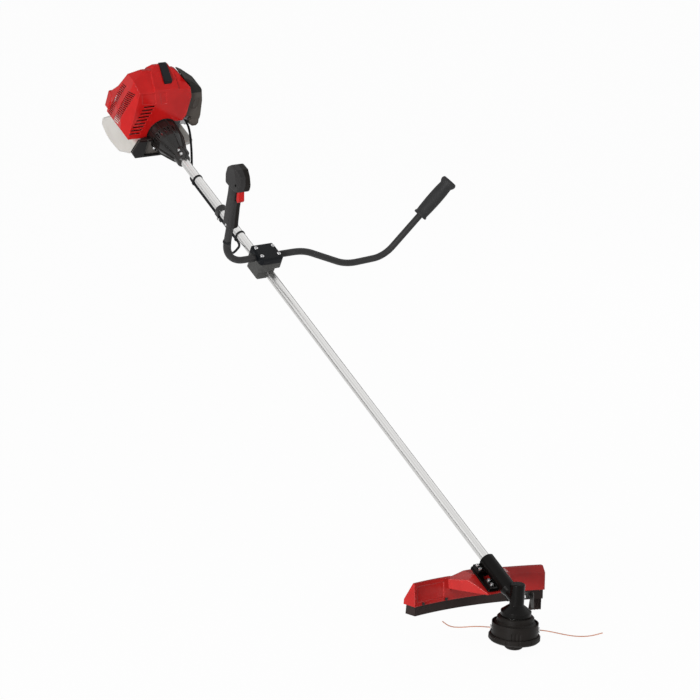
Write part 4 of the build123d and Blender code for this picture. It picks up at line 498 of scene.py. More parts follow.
@dataclass(frozen=True)
class CastMetal(Finish):
    """Die-cast metal, bare or painted, with a pebbled skin."""

    metallic: float = 0.0
    depth: float = 0.00006
    sheen_level: float = 0.16

    def shader(self, graph: Graph) -> None:
        """Write the finish's nodes.

        Args:
            graph: Empty graph that they go into.
        """
        soft = graph.rounded(self.edge)
        edges = graph.edges(soft)
        skin = graph.noise(scale=520.0, detail=4.0, roughness=0.62)
        cloud = graph.noise(scale=22.0, detail=4.0, roughness=0.6)
        body = self.drift(graph, 0.5 * cloud + 0.5 * skin, low=0.35, high=0.65)
        # Edges lighter in colour: a painted highlight along the rounded edges.
        graph.surface(
            Base_Color=self.paint_edge_highlight(graph, body, edges, gain=1.5, lift=0.02, share=0.45),
            Metallic=self.metallic, Roughness=self.roughness + 0.14 * cloud,
            Specular_IOR_Level=self.sheen_level, Normal=graph.bump(skin, self.depth, soft))


@dataclass(frozen=True)
class PlatedSteel(Finish):
    """Zinc-plated steel with a soft patchy bloom and fine scratches."""

    scratch_turn: Point = (0.4, 0.2, 0.7)
    scratch_lines: Point = (300.0, 4000.0, 4000.0)
    depth: float = 0.00002

    def shader(self, graph: Graph) -> None:
        """Write the finish's nodes.

        Args:
            graph: Empty graph that they go into.
        """
        soft = graph.rounded(self.edge)
        bloom = graph.noise(scale=240.0, detail=5.0, roughness=0.65)
        lines = graph.turned(self.scratch_turn, self.scratch_lines)
        scratch = graph.noise(scale=1.0, detail=3.0, roughness=0.6, at=lines)
        graph.surface(
            Base_Color=self.drift(graph, bloom, low=0.3, high=0.7), Metallic=1.0,
            Roughness=self.roughness + 0.15 * bloom + 0.06 * scratch,
            Normal=graph.bump(scratch, self.depth, soft))


@dataclass(frozen=True)
class Rubber(Finish):
    """Moulded rubber with a dull bloom."""

    depth: float = 0.00004
    sheen_level: float = 0.14

    def shader(self, graph: Graph) -> None:
        """Write the finish's nodes.

        Args:
            graph: Empty graph that they go into.
        """
        soft = graph.rounded(self.edge)
        cloud = graph.noise(scale=40.0, detail=4.0, roughness=0.6)
        fine = graph.noise(scale=2200.0, detail=2.0, roughness=0.6)
        graph.surface(
            Base_Color=self.drift(graph, cloud, low=0.3, high=0.7), Roughness=self.roughness + 0.12 * cloud,
            Specular_IOR_Level=self.sheen_level, Normal=graph.bump(fine, self.depth, soft))


@dataclass(frozen=True)
class MilkyPlastic(Finish):
    """Blow-moulded translucent plastic, cloudy inside to a depth in metres."""

    depth: float = 0.004
    weight: float = 0.6
    spread: Point = (1.0, 0.95, 0.88)
    index: float = 1.48
    dimple_depth: float = 0.0001

    def shader(self, graph: Graph) -> None:
        """Write the finish's nodes.

        Args:
            graph: Empty graph that they go into.
        """
        soft = graph.rounded(self.edge)
        cloud = graph.noise(scale=16.0, detail=4.0, roughness=0.6)
        dimple = graph.noise(scale=220.0, detail=2.0, roughness=0.5)
        graph.surface(
            Base_Color=self.drift(graph, cloud, low=0.25, high=0.75), Roughness=self.roughness + 0.10 * cloud,
            Subsurface_Weight=self.weight, Subsurface_Radius=self.spread, Subsurface_Scale=self.depth,
            Normal=graph.bump(dimple, self.dimple_depth, soft), IOR=self.index)


@dataclass(frozen=True)
class PleatedPaper(Finish):
    """Resin-dipped filter paper."""

    depth: float = 0.0002

    def shader(self, graph: Graph) -> None:
        """Write the finish's nodes.

        Args:
            graph: Empty graph that they go into.
        """
        fibre = graph.noise(scale=900.0, detail=5.0, roughness=0.7)
        graph.surface(
            Base_Color=self.drift(graph, fibre, low=0.3, high=0.7), Roughness=self.roughness + 0.1 * fibre,
            Normal=graph.bump(fibre, self.depth))


@dataclass(frozen=True)
class BraidedCord(Finish):
    """Braided rope, its strands crossing in two lays."""

    lay: float = 105.0
    depth: float = 0.0002

    def strands(self, graph: Graph, turn: float) -> Wire:
        """Slanting strands of one lay, from 0 to 1."""
        inputs = {"Vector": graph.turned((0.0, 0.0, turn), (1.0, 1.0, 1.0)), "Scale": self.lay}
        return graph.wire("ShaderNodeTexWave", {"bands_direction": "DIAGONAL"}, inputs, "Fac")

    def shader(self, graph: Graph) -> None:
        """Write the finish's nodes.

        Args:
            graph: Empty graph that they go into.
        """
        braid = self.strands(graph, 0.0) * self.strands(graph, math.pi / 2)
        fibre = graph.noise(scale=2500.0, detail=3.0, roughness=0.6)
        # Colour follows the braid: near black where it is low between the strands, a painted shade in the
        # grooves.
        graph.surface(
            Base_Color=self.drift(graph, braid, low=0.1, high=0.7), Roughness=self.roughness + 0.1 * fibre,
            Normal=graph.bump(braid, self.depth))


ALONG, _, UP = (tuple(axis) for axis in TUBE.axes())
TUBE_TURN = (0.0, -TUBE.rise, 0.0)
FILTER_FLOOR = -1.0
FILTER_SEAM = 114.6
PLATE_BACK = 1774.4
PLATE_FRONT = 1773.2


def level(along: float, right: float, up: float, axis: Point) -> float:
    """Distance along an axis of a place on the tube, in metres."""
    return TUBE.at(along, right, up).dot(Vector(axis))


COVER_RED = GlossPlastic(
    "cover_red", "red_plastic", (0.60, 0.011, 0.010), (0.48, 0.006, 0.006), 0.17, edge=0.003)
GUARD_RED = GlossPlastic(
    "guard_red", "red_plastic", (0.50, 0.020, 0.018), (0.39, 0.013, 0.012), 0.24, edge=0.003, sheen_level=0.2)
CONTROL_RED = GlossPlastic("control_red", "red_control", (0.55, 0.012, 0.011), (0.47, 0.009, 0.009), 0.3)
SHELL_BLACK = GrainPlastic(
    "shell_black", "black_plastic", (0.013, 0.0108, 0.0096), (0.008, 0.0066, 0.0058), 0.38,
    edge=0.0014, sheen_level=0.1)
SHELL_GREY = GrainPlastic(
    "shell_grey", "grey_plastic", (0.036, 0.0345, 0.0345), (0.027, 0.0258, 0.0258), 0.42)
CLAMP_GREY = GrainPlastic("clamp_grey", "grey_plastic", (0.075, 0.075, 0.072), (0.058, 0.058, 0.056), 0.45)
CLAMP_BLACK = GrainPlastic(
    "clamp_black", "black_plastic", (0.005, 0.006, 0.0075), (0.0035, 0.0045, 0.0055), 0.36,
    edge=0.0016, sheen_level=0.1)
# Near black and almost without sheen: painted shade of the deep well that the throttle's head screw sits in.
WELL_SHADE_BLACK = GrainPlastic(
    "painted_well_shade", "black_plastic", (0.0015, 0.0015, 0.0015), (0.001, 0.001, 0.001), 0.6, sheen_level=0.03)
BELL_BLACK = CastMetal(
    "bell_black", "black_cast", (0.019, 0.017, 0.016), (0.008, 0.0072, 0.0066), 0.22,
    depth=0.00004, edge=0.002, sheen_level=0.4)
FILTER_BLACK = TwoTonePlastic(
    "filter_black", "black_plastic", (0.016, 0.0145, 0.012), (0.011, 0.010, 0.0085), 0.44,
    second=(0.088, 0.076, 0.066), axis=UP, low=FILTER_FLOOR, high=level(0.0, 0.0, FILTER_SEAM, UP))
FILTER_BROWN = GrainPlastic("filter_brown", "brown_plastic", (0.12, 0.10, 0.088), (0.09, 0.076, 0.066), 0.48)
STAND_BLACK = TwoTonePlastic(
    "stand_black", "black_plastic", (0.012, 0.0112, 0.011), (0.008, 0.0075, 0.0074), 0.42,
    second=(0.13, 0.118, 0.108), axis=ALONG,
    low=level(PLATE_FRONT, 0.0, 0.0, ALONG), high=level(PLATE_BACK, 0.0, 0.0, ALONG))
BAR_BLACK = CastMetal(
    "bar_black", "black_metal", (0.036, 0.0355, 0.0355), (0.026, 0.0255, 0.0255), 0.36, depth=0.00003)
TUBE_SILVER = DrawnTube(
    "tube_silver", "tube", (0.82, 0.815, 0.805), (0.60, 0.595, 0.585), 0.22, turn=TUBE_TURN)
CAST_GREY = CastMetal("cast_grey", "cast", (0.50, 0.50, 0.51), (0.38, 0.38, 0.39), 0.42, metallic=1.0)
CAST_BLACK = CastMetal(
    "cast_black", "black_cast", (0.0035, 0.003, 0.0027), (0.002, 0.0017, 0.0015), 0.2,
    depth=0.00003, edge=0.002, sheen_level=0.11)
BURNT_STEEL = PlatedSteel("burnt_steel", "steel", (0.060, 0.052, 0.046), (0.035, 0.031, 0.029), 0.5)
DARK_CAST = CastMetal("dark_cast", "cast", (0.10, 0.10, 0.10), (0.07, 0.07, 0.07), 0.5, metallic=1.0)
STEEL = PlatedSteel("plated_steel", "steel", (0.74, 0.74, 0.73), (0.56, 0.56, 0.57), 0.22, edge=0.0004)
BLADE = PlatedSteel("dark_blade", "steel", (0.10, 0.098, 0.095), (0.06, 0.058, 0.056), 0.34, edge=0.0004)
# The rope's near-black shade is painted shade between its strands.
ROPE_BRAID = BraidedCord("rope_braid", "black_plastic", (0.13, 0.125, 0.12), (0.018, 0.017, 0.016), 0.7)
BARREL_RUBBER = Rubber("barrel_rubber", "rubber", (0.034, 0.034, 0.0345), (0.026, 0.026, 0.0265), 0.5)
GRIP_RUBBER = Rubber("grip_rubber", "rubber", (0.013, 0.014, 0.0155), (0.009, 0.010, 0.011), 0.6)
SKIRT_RUBBER = Rubber("skirt_rubber", "rubber", (0.030, 0.020, 0.018), (0.021, 0.014, 0.0125), 0.5)
LINE_COPPER = GrainPlastic(
    "line_copper", "line", (0.58, 0.27, 0.17), (0.48, 0.20, 0.12), 0.3, edge=0.0001, depth=0.000004)
TANK_MILK = MilkyPlastic("tank_milk", "tank", (0.71, 0.68, 0.64), (0.62, 0.59, 0.55), 0.3)
PAPER = PleatedPaper("filter_paper", "paper", (0.75, 0.66, 0.46), (0.64, 0.55, 0.37), 0.8)
BULB_CLEAR = MilkyPlastic("bulb_clear", "bulb", (0.78, 0.70, 0.52), (0.70, 0.62, 0.44), 0.2, depth=0.003)


# Mesh tools

WELD = 0.001 * MM
SOFT_STEPS = 2
ROUND_PROFILE = 0.5
CORD_ORDER = 3
CORD_STEPS = 10
CORD_RINGS = 5


class Body(Enum):
    """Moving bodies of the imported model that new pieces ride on."""

    FRAME = "frame"
    HEAD = "head"
    GRIP = "grip"


def add_object(name: str, data: Any, body: Body | None, finish: Finish) -> bpy.types.Object:
    """Link a new piece, dress it and let it ride.

    Args:
        name: Name of the piece.
        data: Its mesh or curve.
        body: Body that it rides on, or none to leave it on no body.
        finish: Its finish.

    Returns:
        The object.
    """
    piece = bpy.data.objects.new(name, data)
    bpy.context.scene.collection.objects.link(piece)
    data.materials.append(finish.material())
    if body is not None:
        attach(piece, body.value)
    LOG.info("piece %s", name)
    return piece


def mesh_of(name: str, shape: bmesh.types.BMesh) -> bpy.types.Mesh:
    """Turn a shape into a mesh and let the shape go.

    Args:
        name: Name of the mesh.
        shape: The shape.

    Returns:
        The mesh.
    """
    mesh = bpy.data.meshes.new(name)
    shape.to_mesh(mesh)
    shape.free()
    return mesh


def points_of(geometry: Iterable[Any]) -> list[bmesh.types.BMVert]:
    """The points among what an operator made."""
    return [part for part in geometry if isinstance(part, bmesh.types.BMVert)]


class Outline(Enum):
    """Shape of a screw's head, by its number of sides."""

    ROUND = 24
    HEXAGON = 6


@dataclass(frozen=True)
class Fastener:
    """Recessed head of a screw on its washer, in millimetres; washer, rim, recess and soft are shares."""

    radius: float
    height: float
    outline: Outline = Outline.ROUND
    washer: float = 1.3
    sunk: float = 0.4
    washer_top: float = 0.5
    head_foot: float = 0.3
    rim: float = 0.42
    recess: float = 0.55
    soft: float = 0.22

    def disc(self, shape: bmesh.types.BMesh, stand: Matrix, sides: int, radius: float, low: float,
             high: float) -> bmesh.types.BMFace:
        """Round or cornered disc with a softened upper edge.

        Args:
            shape: The mesh that it joins.
            stand: Place, with z outwards.
            sides: Corners of the disc.
            radius: Radius in millimetres.
            low: Height of its foot.
            high: Height of its top.

        Returns:
            The top face.
        """
        foot = stand @ Matrix.Translation((0.0, 0.0, low * MM))
        ring = bmesh.ops.create_circle(
            shape, cap_ends=True, segments=sides, radius=radius * MM, matrix=foot)["verts"]
        face = ring[0].link_faces[0]
        made = bmesh.ops.extrude_face_region(shape, geom=[face])["geom"]
        outwards = stand.to_3x3() @ Vector((0.0, 0.0, 1.0))
        bmesh.ops.translate(shape, vec=outwards * ((high - low) * MM), verts=points_of(made))
        top = next(f for f in made if isinstance(f, bmesh.types.BMFace))
        bevel = bmesh.ops.bevel(
            shape, geom=list(top.edges), offset=self.soft * (high - low) * MM, offset_type="OFFSET",
            affect="EDGES", segments=SOFT_STEPS, profile=ROUND_PROFILE, material=-1)
        return max((f for f in {g for v in bevel["verts"] for g in v.link_faces} if f.is_valid),
                   key=lambda f: (f.calc_center_median() - stand.translation).dot(outwards))

    def add(self, shape: bmesh.types.BMesh, stand: Matrix) -> None:
        """Put the head on a washer and sink its recess.

        Args:
            shape: The mesh that it joins.
            stand: Place on the surface, with z outwards.
        """
        self.disc(shape, stand, Outline.ROUND.value, self.radius * self.washer, -self.sunk, self.washer_top)
        top = self.disc(shape, stand, self.outline.value, self.radius, self.head_foot, self.height)
        bmesh.ops.inset_individual(shape, faces=[top], thickness=self.rim * self.radius * MM)
        made = bmesh.ops.extrude_face_region(shape, geom=[top])["geom"]
        bmesh.ops.delete(shape, geom=[top], context="FACES_ONLY")
        depth = Vector((0.0, 0.0, -self.recess * self.height * MM))
        bmesh.ops.translate(shape, vec=stand.to_3x3() @ depth, verts=points_of(made))


def fasteners(name: str, kind: Fastener, stands: Iterable[Matrix], finish: Finish) -> None:
    """A set of equal screws as one piece on the frame.

    Args:
        name: Name of the piece.
        kind: The screw.
        stands: Places, with z outwards.
        finish: Their finish.
    """
    shape = bmesh.new()
    for stand in stands:
        kind.add(shape, stand)
    bmesh.ops.recalc_face_normals(shape, faces=list(shape.faces))
    add_object(name, mesh_of(name, shape), Body.FRAME, finish)


def smooth_spline(name: str, points: Iterable[Vector], radius: float) -> bpy.types.Curve:
    """Round cord along a NURBS line.

    Args:
        name: Name of the curve.
        points: Control points in metres.
        radius: Radius of the cord.

    Returns:
        The curve.
    """
    curve = bpy.data.curves.new(name, "CURVE")
    curve.dimensions = "3D"
    spline = curve.splines.new("NURBS")
    route = list(points)
    spline.points.add(len(route) - 1)
    for knot, place in zip(spline.points, route):
        knot.co = (*place, 1.0)
    spline.order_u = CORD_ORDER
    spline.use_endpoint_u = True
    spline.resolution_u = CORD_STEPS
    curve.bevel_depth = radius
    curve.bevel_resolution = CORD_RINGS
    curve.use_fill_caps = True
    return curve


# Sub-assemblies


@dataclass
class Assembly:
    """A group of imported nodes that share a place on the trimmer."""

    nodes: dict[str, bpy.types.Object]
    finishes: dict[str, Finish]

    def build(self) -> None:
        """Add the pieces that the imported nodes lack."""

    def dress(self) -> None:
        """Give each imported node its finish."""
        for name, finish in self.finishes.items():
            slots = self.nodes[name].data.materials
            slots.clear()
            slots.append(finish.material())
            LOG.info("node %s: %s", name, finish.name)


@dataclass
class CuttingHead(Assembly):
    """Bump-feed head with its spring and two free line ends."""

    exit_angle: float = 51.5
    line_radius: float = 1.2
    left_length: float = 125.3
    right_length: float = 157.8
    spring_seat: float = 64.0
    bump_travel: float = 6.0
    left: Sequence[Point] = (
        (50, 0, 48), (65, 0.5, 48.3), (81, 0.2, 48.4), (98, -1.2, 46.8), (115, -2.6, 44), (131, -2.4, 42.4),
        (146, 0, 43.4), (159, 3.6, 49), (169, 8.4, 58))
    right: Sequence[Point] = (
        (50, 0, 48), (66, -0.4, 47.6), (84, 0, 45.6), (104, 1.4, 41.8), (124, 2.8, 38.4), (144, 3, 36.8),
        (164, 1.4, 38.2), (184, -2.6, 43.4), (203, -8.5, 52.6))

    def line(self, name: str, route: Sequence[Point], turn: float, length: float) -> None:
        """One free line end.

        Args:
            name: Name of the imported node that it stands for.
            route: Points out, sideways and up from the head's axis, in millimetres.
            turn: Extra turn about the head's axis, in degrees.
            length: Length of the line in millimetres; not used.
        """
        spin = Matrix.Rotation(math.radians(self.exit_angle + turn), 4, "Z")
        points = [spin @ (Vector(p) * MM) for p in route]
        curve = smooth_spline(name, points, self.line_radius * MM)
        piece = add_object(name + "_line", curve, Body.HEAD, LINE_COPPER)
        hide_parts(name)

    def spring(self) -> None:
        """Spring over the spool: the imported coil with its doubled points welded, riding on the head."""
        shape = bmesh.new()
        shape.from_mesh(self.nodes["bump_spring"].data)
        bmesh.ops.remove_doubles(shape, verts=list(shape.verts), dist=WELD)
        piece = add_object("bump_spring_coil", mesh_of("bump_spring_coil", shape), Body.HEAD, STEEL)
        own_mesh(piece)
        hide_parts("bump_spring")

    def build(self) -> None:
        """Add the spring and both line ends."""
        self.spring()
        self.line("line_end_left", self.left, turn=180.0, length=self.left_length)
        self.line("line_end_right", self.right, turn=0.0, length=self.right_length)


@dataclass
class GearEnd(Assembly):
    """Gear case with its grease plug, guard and skirt."""

    plug_height: float = 126.0
    plug_turn: float = 51.5
    case_radius: float = 17.0
    plug: Fastener = Fastener(3.6, 2.6, Outline.HEXAGON)

    def build(self) -> None:
        """Add the grease plug."""
        outwards = Matrix.Rotation(math.radians(self.plug_turn), 3, "Z") @ Vector((1.0, 0.0, 0.0))
        place = (outwards * self.case_radius + Vector((0.0, 0.0, self.plug_height))) * MM
        fasteners("grease_plug", self.plug, [facing(place, outwards)], STEEL)


@dataclass
class Handle(Assembly):
    """Handlebar with its clamp, left grip and throttle grip."""

    cheek: float = 19.5
    flank: float = 15.5
    cheek_place: tuple[float, float] = (21.6, 128.5)
    grip_places: Sequence[tuple[float, float]] = ((3.0, 5.0),)
    well: Fastener = Fastener(2.8, 0.6, washer=1.2)
    screw: Fastener = Fastener(2.4, 1.0, washer=1.35)
    bar_end: tuple[float, float] = (556.0, 147.0)
    bar_elbow: tuple[float, float] = (386.0, -60.0)
    barrel_length: float = 122.0
    barrel_sides: int = 64
    barrel_crease: float = 38.0
    barrel: Sequence[tuple[float, float]] = (
        (9.05, 0), (18, 0), (19.5, 2), (19.5, 5), (17.4, 8.5), (18.4, 24), (19.2, 46), (19.5, 66),
        (19.1, 86), (17.8, 106), (22, 113.5), (22.5, 116), (22.5, 119.8), (21, 122.3), (19.4, 124.6),
        (18, 125), (0, 125), (0, 122), (9.05, 122))

    def grip(self) -> None:
        """Rubber grip over the bar's left end, spun from radii and distances out along the bar."""
        end = HANDLE.on_bar(*self.bar_end)
        inwards = (HANDLE.on_bar(*self.bar_elbow) - end).normalized()
        foot = end + inwards * (self.barrel_length * MM)
        shape = bmesh.new()
        corners = [shape.verts.new((radius * MM, 0.0, high * MM)) for radius, high in self.barrel]
        outline = [shape.edges.new(pair) for pair in zip(corners, corners[1:] + corners[:1])]
        bmesh.ops.spin(shape, geom=corners + outline, cent=(0.0, 0.0, 0.0), axis=(0.0, 0.0, 1.0),
                       angle=2.0 * math.pi, steps=self.barrel_sides, use_merge=True)
        bmesh.ops.remove_doubles(shape, verts=list(shape.verts), dist=WELD)
        bmesh.ops.recalc_face_normals(shape, faces=list(shape.faces))
        bmesh.ops.transform(shape, matrix=facing(foot, -inwards), verts=list(shape.verts))
        for face in shape.faces:
            face.smooth = True
        mesh = mesh_of("left_grip_barrel", shape)
        mesh.set_sharp_from_angle(angle=math.radians(self.barrel_crease))
        piece = add_object("left_grip_barrel", mesh, Body.FRAME, BARREL_RUBBER)
        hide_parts("left_grip")

    def build(self) -> None:
        """Add the grip and the screws that hold the throttle's shells together."""
        self.grip()
        head = HANDLE.stand(*self.cheek_place, self.cheek)
        # The head screw is dressed in painted shade, a near-black disc for its dark well.
        fasteners("throttle_head_screw", self.well, [head], WELL_SHADE_BLACK)
        stands = [HANDLE.stand(*place, self.flank) for place in self.grip_places]
        fasteners("throttle_grip_screws", self.screw, stands, STEEL)


@dataclass
class FuelGroup(Assembly):
    """Tank, and the stand that carries it."""

    plate: float = 1774.0
    plate_screws: Sequence[tuple[float, float]] = ((31.5, -30.5), (6.0, -42.0))
    screw: Fastener = Fastener(3.2, 2.0)

    def build(self) -> None:
        """Add the screws on the stand's plate."""
        ahead = -TUBE.axes()[0]
        stands = [facing(TUBE.at(self.plate, *place), ahead) for place in self.plate_screws]
        fasteners("stand_screws", self.screw, stands, STEEL)


@dataclass
class Starter(Assembly):
    """Recoil starter with its rope."""

    rope_at: float = 1949.0
    rope_side: float = -29.8
    rope_radius: float = 1.8
    rope_low: float = 2.0
    rope_high: float = 72.0
    rope_sides: int = 16
    rope_steps: int = 12
    stretch_low: float = 8.0
    stretch_high: float = 64.0
    rear: float = 1972.0
    screw_circle: float = 51.0
    screw_turns: Sequence[float] = (35.0, 125.0, 215.0, 305.0)
    screw: Fastener = Fastener(2.5, 1.8, washer=1.15)

    def build(self) -> None:
        """Add the housing's screws and the rope."""
        behind = TUBE.axes()[0]
        stands = []
        for turn in self.screw_turns:
            angle = math.radians(turn)
            right, up = self.screw_circle * math.cos(angle), self.screw_circle * math.sin(angle)
            stands.append(facing(TUBE.at(self.rear, right, up), behind))
        fasteners("starter_screws", self.screw, stands, STEEL)
        self.rope()

    def on_rope(self, up: float) -> Vector:
        """Place on the rope's line, in metres."""
        return TUBE.at(self.rope_at, self.rope_side, up)

    def rope(self) -> None:
        """Straight rope from the pulley up to the grip."""
        shape = bmesh.new()
        ring = bmesh.ops.create_circle(shape, segments=self.rope_sides, radius=self.rope_radius * MM)["verts"]
        along, right, up = TUBE.axes()
        stand = Matrix((along, right, up)).transposed().to_4x4()
        stand.translation = self.on_rope(self.rope_low)
        bmesh.ops.transform(shape, matrix=stand, verts=ring)
        edges = list(shape.edges)
        rise = up * ((self.rope_high - self.rope_low) * MM / self.rope_steps)
        for _ in range(self.rope_steps):
            made = bmesh.ops.extrude_edge_only(shape, edges=edges)["geom"]
            bmesh.ops.translate(shape, vec=rise, verts=points_of(made))
            edges = [e for e in made if isinstance(e, bmesh.types.BMEdge)]
        bmesh.ops.holes_fill(shape, edges=list(shape.edges))
        bmesh.ops.recalc_face_normals(shape, faces=list(shape.faces))
        piece = add_object("starter_rope_braid", mesh_of("starter_rope_braid", shape), None, ROPE_BRAID)
        self.on_rope(self.stretch_low)
        self.on_rope(self.stretch_high)
        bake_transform(piece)
        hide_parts("starter_rope")


# Studio


def stage_prop(name: str, shape: bmesh.types.BMesh, paint_name: str) -> tuple[bpy.types.Object, Graph]:
    """Add a piece of the studio.

    Args:
        name: Name of the piece.
        shape: Its shape.
        paint_name: Name of its paint.

    Returns:
        The object and the empty graph of its paint.
    """
    prop = bpy.data.objects.new(name, mesh_of(name, shape))
    bpy.context.scene.collection.objects.link(prop)
    paint = bpy.data.materials.new(paint_name)
    paint.use_nodes = True
    prop.data.materials.append(paint)
    return prop, Graph(paint.node_tree)


@dataclass(frozen=True)
class Lamp:
    """Square soft lamp: its place and aim, its side in metres and its power in watts."""

    name: str
    place: Point
    aim: Point
    size: float
    watts: float
    mirrored: bool = True

    def build(self) -> None:
        """Add the lamp."""
        data = bpy.data.lights.new(self.name, "AREA")
        data.energy = self.watts
        data.size = self.size
        lamp = bpy.data.objects.new(self.name, data)
        lamp.location = self.place
        lamp.rotation_euler = (Vector(self.aim) - Vector(self.place)).to_track_quat("-Z", "Y").to_euler()
        lamp.visible_glossy = self.mirrored
        bpy.context.scene.collection.objects.link(lamp)


@dataclass(frozen=True)
class Card:
    """Grey card that only shows in reflections, as beside a product table; in metres and degrees."""

    name: str
    place: Point
    size: Point
    turn: float
    grey: float = 0.32
    roughness: float = 0.9

    def build(self) -> None:
        """Add the card."""
        shape = bmesh.new()
        bmesh.ops.create_cube(shape, size=1.0)
        bmesh.ops.scale(shape, vec=self.size, verts=list(shape.verts))
        spin = Matrix.Rotation(math.radians(self.turn), 3, "Z")
        bmesh.ops.rotate(shape, matrix=spin, verts=list(shape.verts))
        bmesh.ops.translate(shape, vec=self.place, verts=list(shape.verts))
        card, graph = stage_prop(self.name, shape, self.name)
        graph.surface(Base_Color=(self.grey, self.grey, self.grey), Roughness=self.roughness)
        card.visible_camera = False
        card.visible_diffuse = False
        card.visible_shadow = False
        card.visible_transmission = False


@dataclass(frozen=True)
class Studio:
    """Camera, lamps, cards, world and floor, in metres and degrees; the lens and sensor in millimetres."""

    place: Point = (3.8105, -3.5618, 1.7316)
    azimuth: float = 51.54
    elevation: float = 11.39
    roll: float = 3.286
    lens: float = 120.29
    sensor: float = 36.0
    farthest: float = 100.0
    floor_size: float = 60.0
    floor_grey: Colour = (0.6, 0.6, 0.6)
    glow_share: float = 0.965
    even_light: float = 0.36
    lamps: Sequence[Lamp] = (
        Lamp("key", (1.9, -5.1, 0.55), (-0.8, 0.0, 0.65), 1.8, 350.0),
        Lamp("fill", (4.8, 1.6, 2.2), (-0.5, 0.0, 0.5), 1.6, 34.0),
        Lamp("back", (-1.6, 6.0, 2.2), (-1.0, 0.0, 0.8), 1.8, 70.0, mirrored=False))
    cards: Sequence[Card] = (
        Card("side_card", (-4.0, -6.0, 0.9), (8.0, 0.02, 1.7), 0.0),
        Card("rear_card", (-6.2, 5.0, 2.0), (11.0, 0.02, 4.4), 52.0))

    def camera(self) -> None:
        """Put the camera where the photograph was taken from."""
        az, el, roll = (math.radians(a) for a in (self.azimuth, self.elevation, self.roll))
        ahead = Vector((-math.sin(az) * math.cos(el), math.cos(az) * math.cos(el), -math.sin(el)))
        right = ahead.cross(Vector((0.0, 0.0, 1.0))).normalized()
        up = right.cross(ahead)
        image_right = right * math.cos(roll) + up * math.sin(roll)
        image_up = up * math.cos(roll) - right * math.sin(roll)
        data = bpy.data.cameras.new("camera")
        data.lens = self.lens
        data.sensor_width = self.sensor
        data.clip_end = self.farthest
        camera = bpy.data.objects.new("camera", data)
        stand = Matrix((image_right, image_up, -ahead)).transposed().to_4x4()
        stand.translation = Vector(self.place)
        camera.matrix_world = stand
        bpy.context.scene.collection.objects.link(camera)
        bpy.context.scene.camera = camera

    def seen(self, graph: Graph) -> Wire:
        """Rays that see the white of the background.

        Args:
            graph: Graph that the nodes go into.

        Returns:
            1 for such a ray and 0 for others.
        """
        path = graph.node("ShaderNodeLightPath")
        camera, glossy, through = (Wire(graph, path.outputs[n]) for n in (
            "Is Camera Ray", "Is Glossy Ray", "Is Transmission Ray"))
        return (camera + glossy + through).lowest(1.0)

    def world(self) -> None:
        """White all round for the camera and reflections, and a soft even light."""
        world = bpy.data.worlds.new("world")
        bpy.context.scene.world = world
        world.use_nodes = True
        graph = Graph(world.node_tree)
        lit = graph.wire("ShaderNodeBackground", None, {"Color": WHITE, "Strength": self.even_light})
        white = graph.wire("ShaderNodeBackground", None, {"Color": WHITE, "Strength": 1.0})
        both = graph.wire("ShaderNodeMixShader", None, {0: self.seen(graph), 1: lit, 2: white})
        graph.node("ShaderNodeOutputWorld", None, {"Surface": both})

    def floor(self) -> None:
        """Plain pale floor that keeps a light shadow."""
        shape = bmesh.new()
        bmesh.ops.create_grid(shape, x_segments=1, y_segments=1, size=self.floor_size)
        graph = stage_prop("floor", shape, "floor_white")[1]
        matt = graph.wire("ShaderNodeBsdfDiffuse", None, {"Color": self.floor_grey})
        pale = graph.wire("ShaderNodeBsdfDiffuse", None, {"Color": WHITE})
        glow = graph.wire("ShaderNodeEmission", None, {"Color": WHITE, "Strength": 1.0})
        white = graph.wire("ShaderNodeMixShader", None, {0: self.glow_share, 1: pale, 2: glow})
        both = graph.wire("ShaderNodeMixShader", None, {0: self.seen(graph), 1: matt, 2: white})
        graph.node("ShaderNodeOutputMaterial", None, {"Surface": both})

    def build(self) -> None:
        """Set up the whole studio."""
        bpy.context.scene.view_settings.view_transform = "Standard"
        self.camera()
        self.world()
        self.floor()
        for piece in (*self.lamps, *self.cards):
            piece.build()


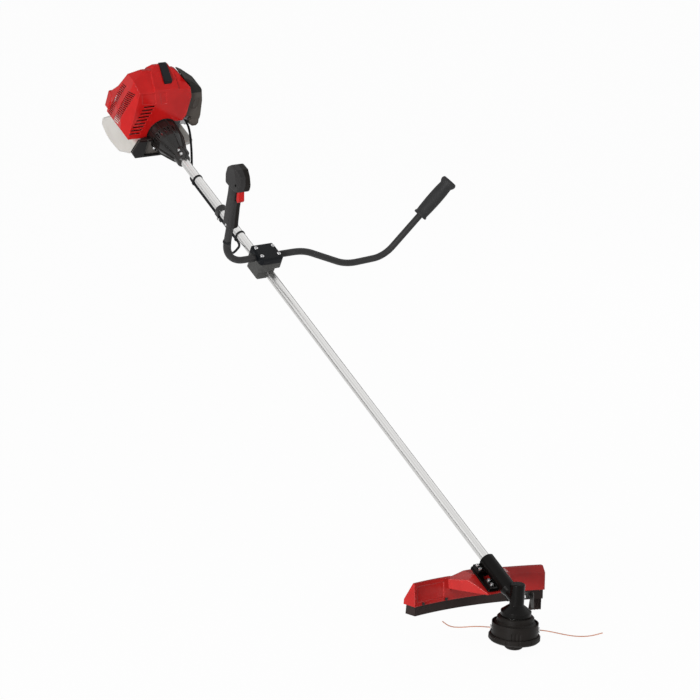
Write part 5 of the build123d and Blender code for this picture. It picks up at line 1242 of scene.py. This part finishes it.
def main() -> None:
    """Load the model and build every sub-assembly."""
    logging.basicConfig(level=logging.INFO, format="%(message)s")
    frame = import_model()
    nodes = frame["nodes"]
    Studio().build()
    head = CuttingHead(nodes, {
        "head_housing": SHELL_BLACK, "head_cover": SHELL_BLACK, "bump_knob": SHELL_BLACK,
        "line_eyelets": STEEL, "spool": SHELL_BLACK, "receiver_flange": STEEL, "output_spindle": STEEL,
        "bevel_gear": STEEL})
    shaft = Assembly(nodes, {
        "shaft_tube": TUBE_SILVER, "cable_rings": GRIP_RUBBER, "hanger_clamp": BAR_BLACK,
        "drive_shaft": STEEL, "shaft_bushings": SHELL_BLACK, "throttle_cable": GRIP_RUBBER, "pinion": STEEL,
        "bearings": STEEL})
    gear_end = GearEnd(nodes, {
        "gear_case": CAST_BLACK, "guard_bracket": CAST_BLACK, "clamp_bolts": STEEL, "guard": GUARD_RED,
        "guard_skirt": SKIRT_RUBBER, "skirt_screws": BLADE, "line_cutter": BLADE})
    handle = Handle(nodes, {
        "handle_clamp_base": CLAMP_GREY, "handle_clamp_cap": CLAMP_BLACK, "handle_clamp_screws": STEEL,
        "handlebar": BAR_BLACK, "throttle_shell_left": SHELL_BLACK, "throttle_shell_right": SHELL_GREY,
        "throttle_trigger": CONTROL_RED, "throttle_lock": CONTROL_RED, "stop_switch": CONTROL_RED})
    engine = Assembly(nodes, {
        "clutch_housing": BELL_BLACK, "clutch_drum": STEEL, "clutch_shoes": CAST_GREY, "crankshaft": STEEL,
        "crankcase": DARK_CAST, "cylinder": DARK_CAST, "spark_plug": STEEL, "spark_plug_boot": GRIP_RUBBER,
        "muffler": BURNT_STEEL, "engine_cover": COVER_RED, "flywheel": DARK_CAST})
    intake = Assembly(nodes, {
        "carburettor": CAST_GREY, "primer_bulb": BULB_CLEAR, "air_filter_base": FILTER_BROWN,
        "air_filter_cover": FILTER_BLACK, "filter_element": PAPER, "choke_lever": SHELL_BLACK})
    fuel = FuelGroup(nodes, {"fuel_tank": TANK_MILK, "fuel_cap": SHELL_BLACK, "engine_stand": STAND_BLACK})
    starter = Starter(nodes, {
        "starter_housing": SHELL_BLACK, "starter_pulley": SHELL_BLACK, "starter_grip": SHELL_BLACK})
    for group in (head, shaft, gear_end, handle, engine, intake, fuel, starter):
        group.build()
        group.dress()


if __name__ == "__main__":
    main()
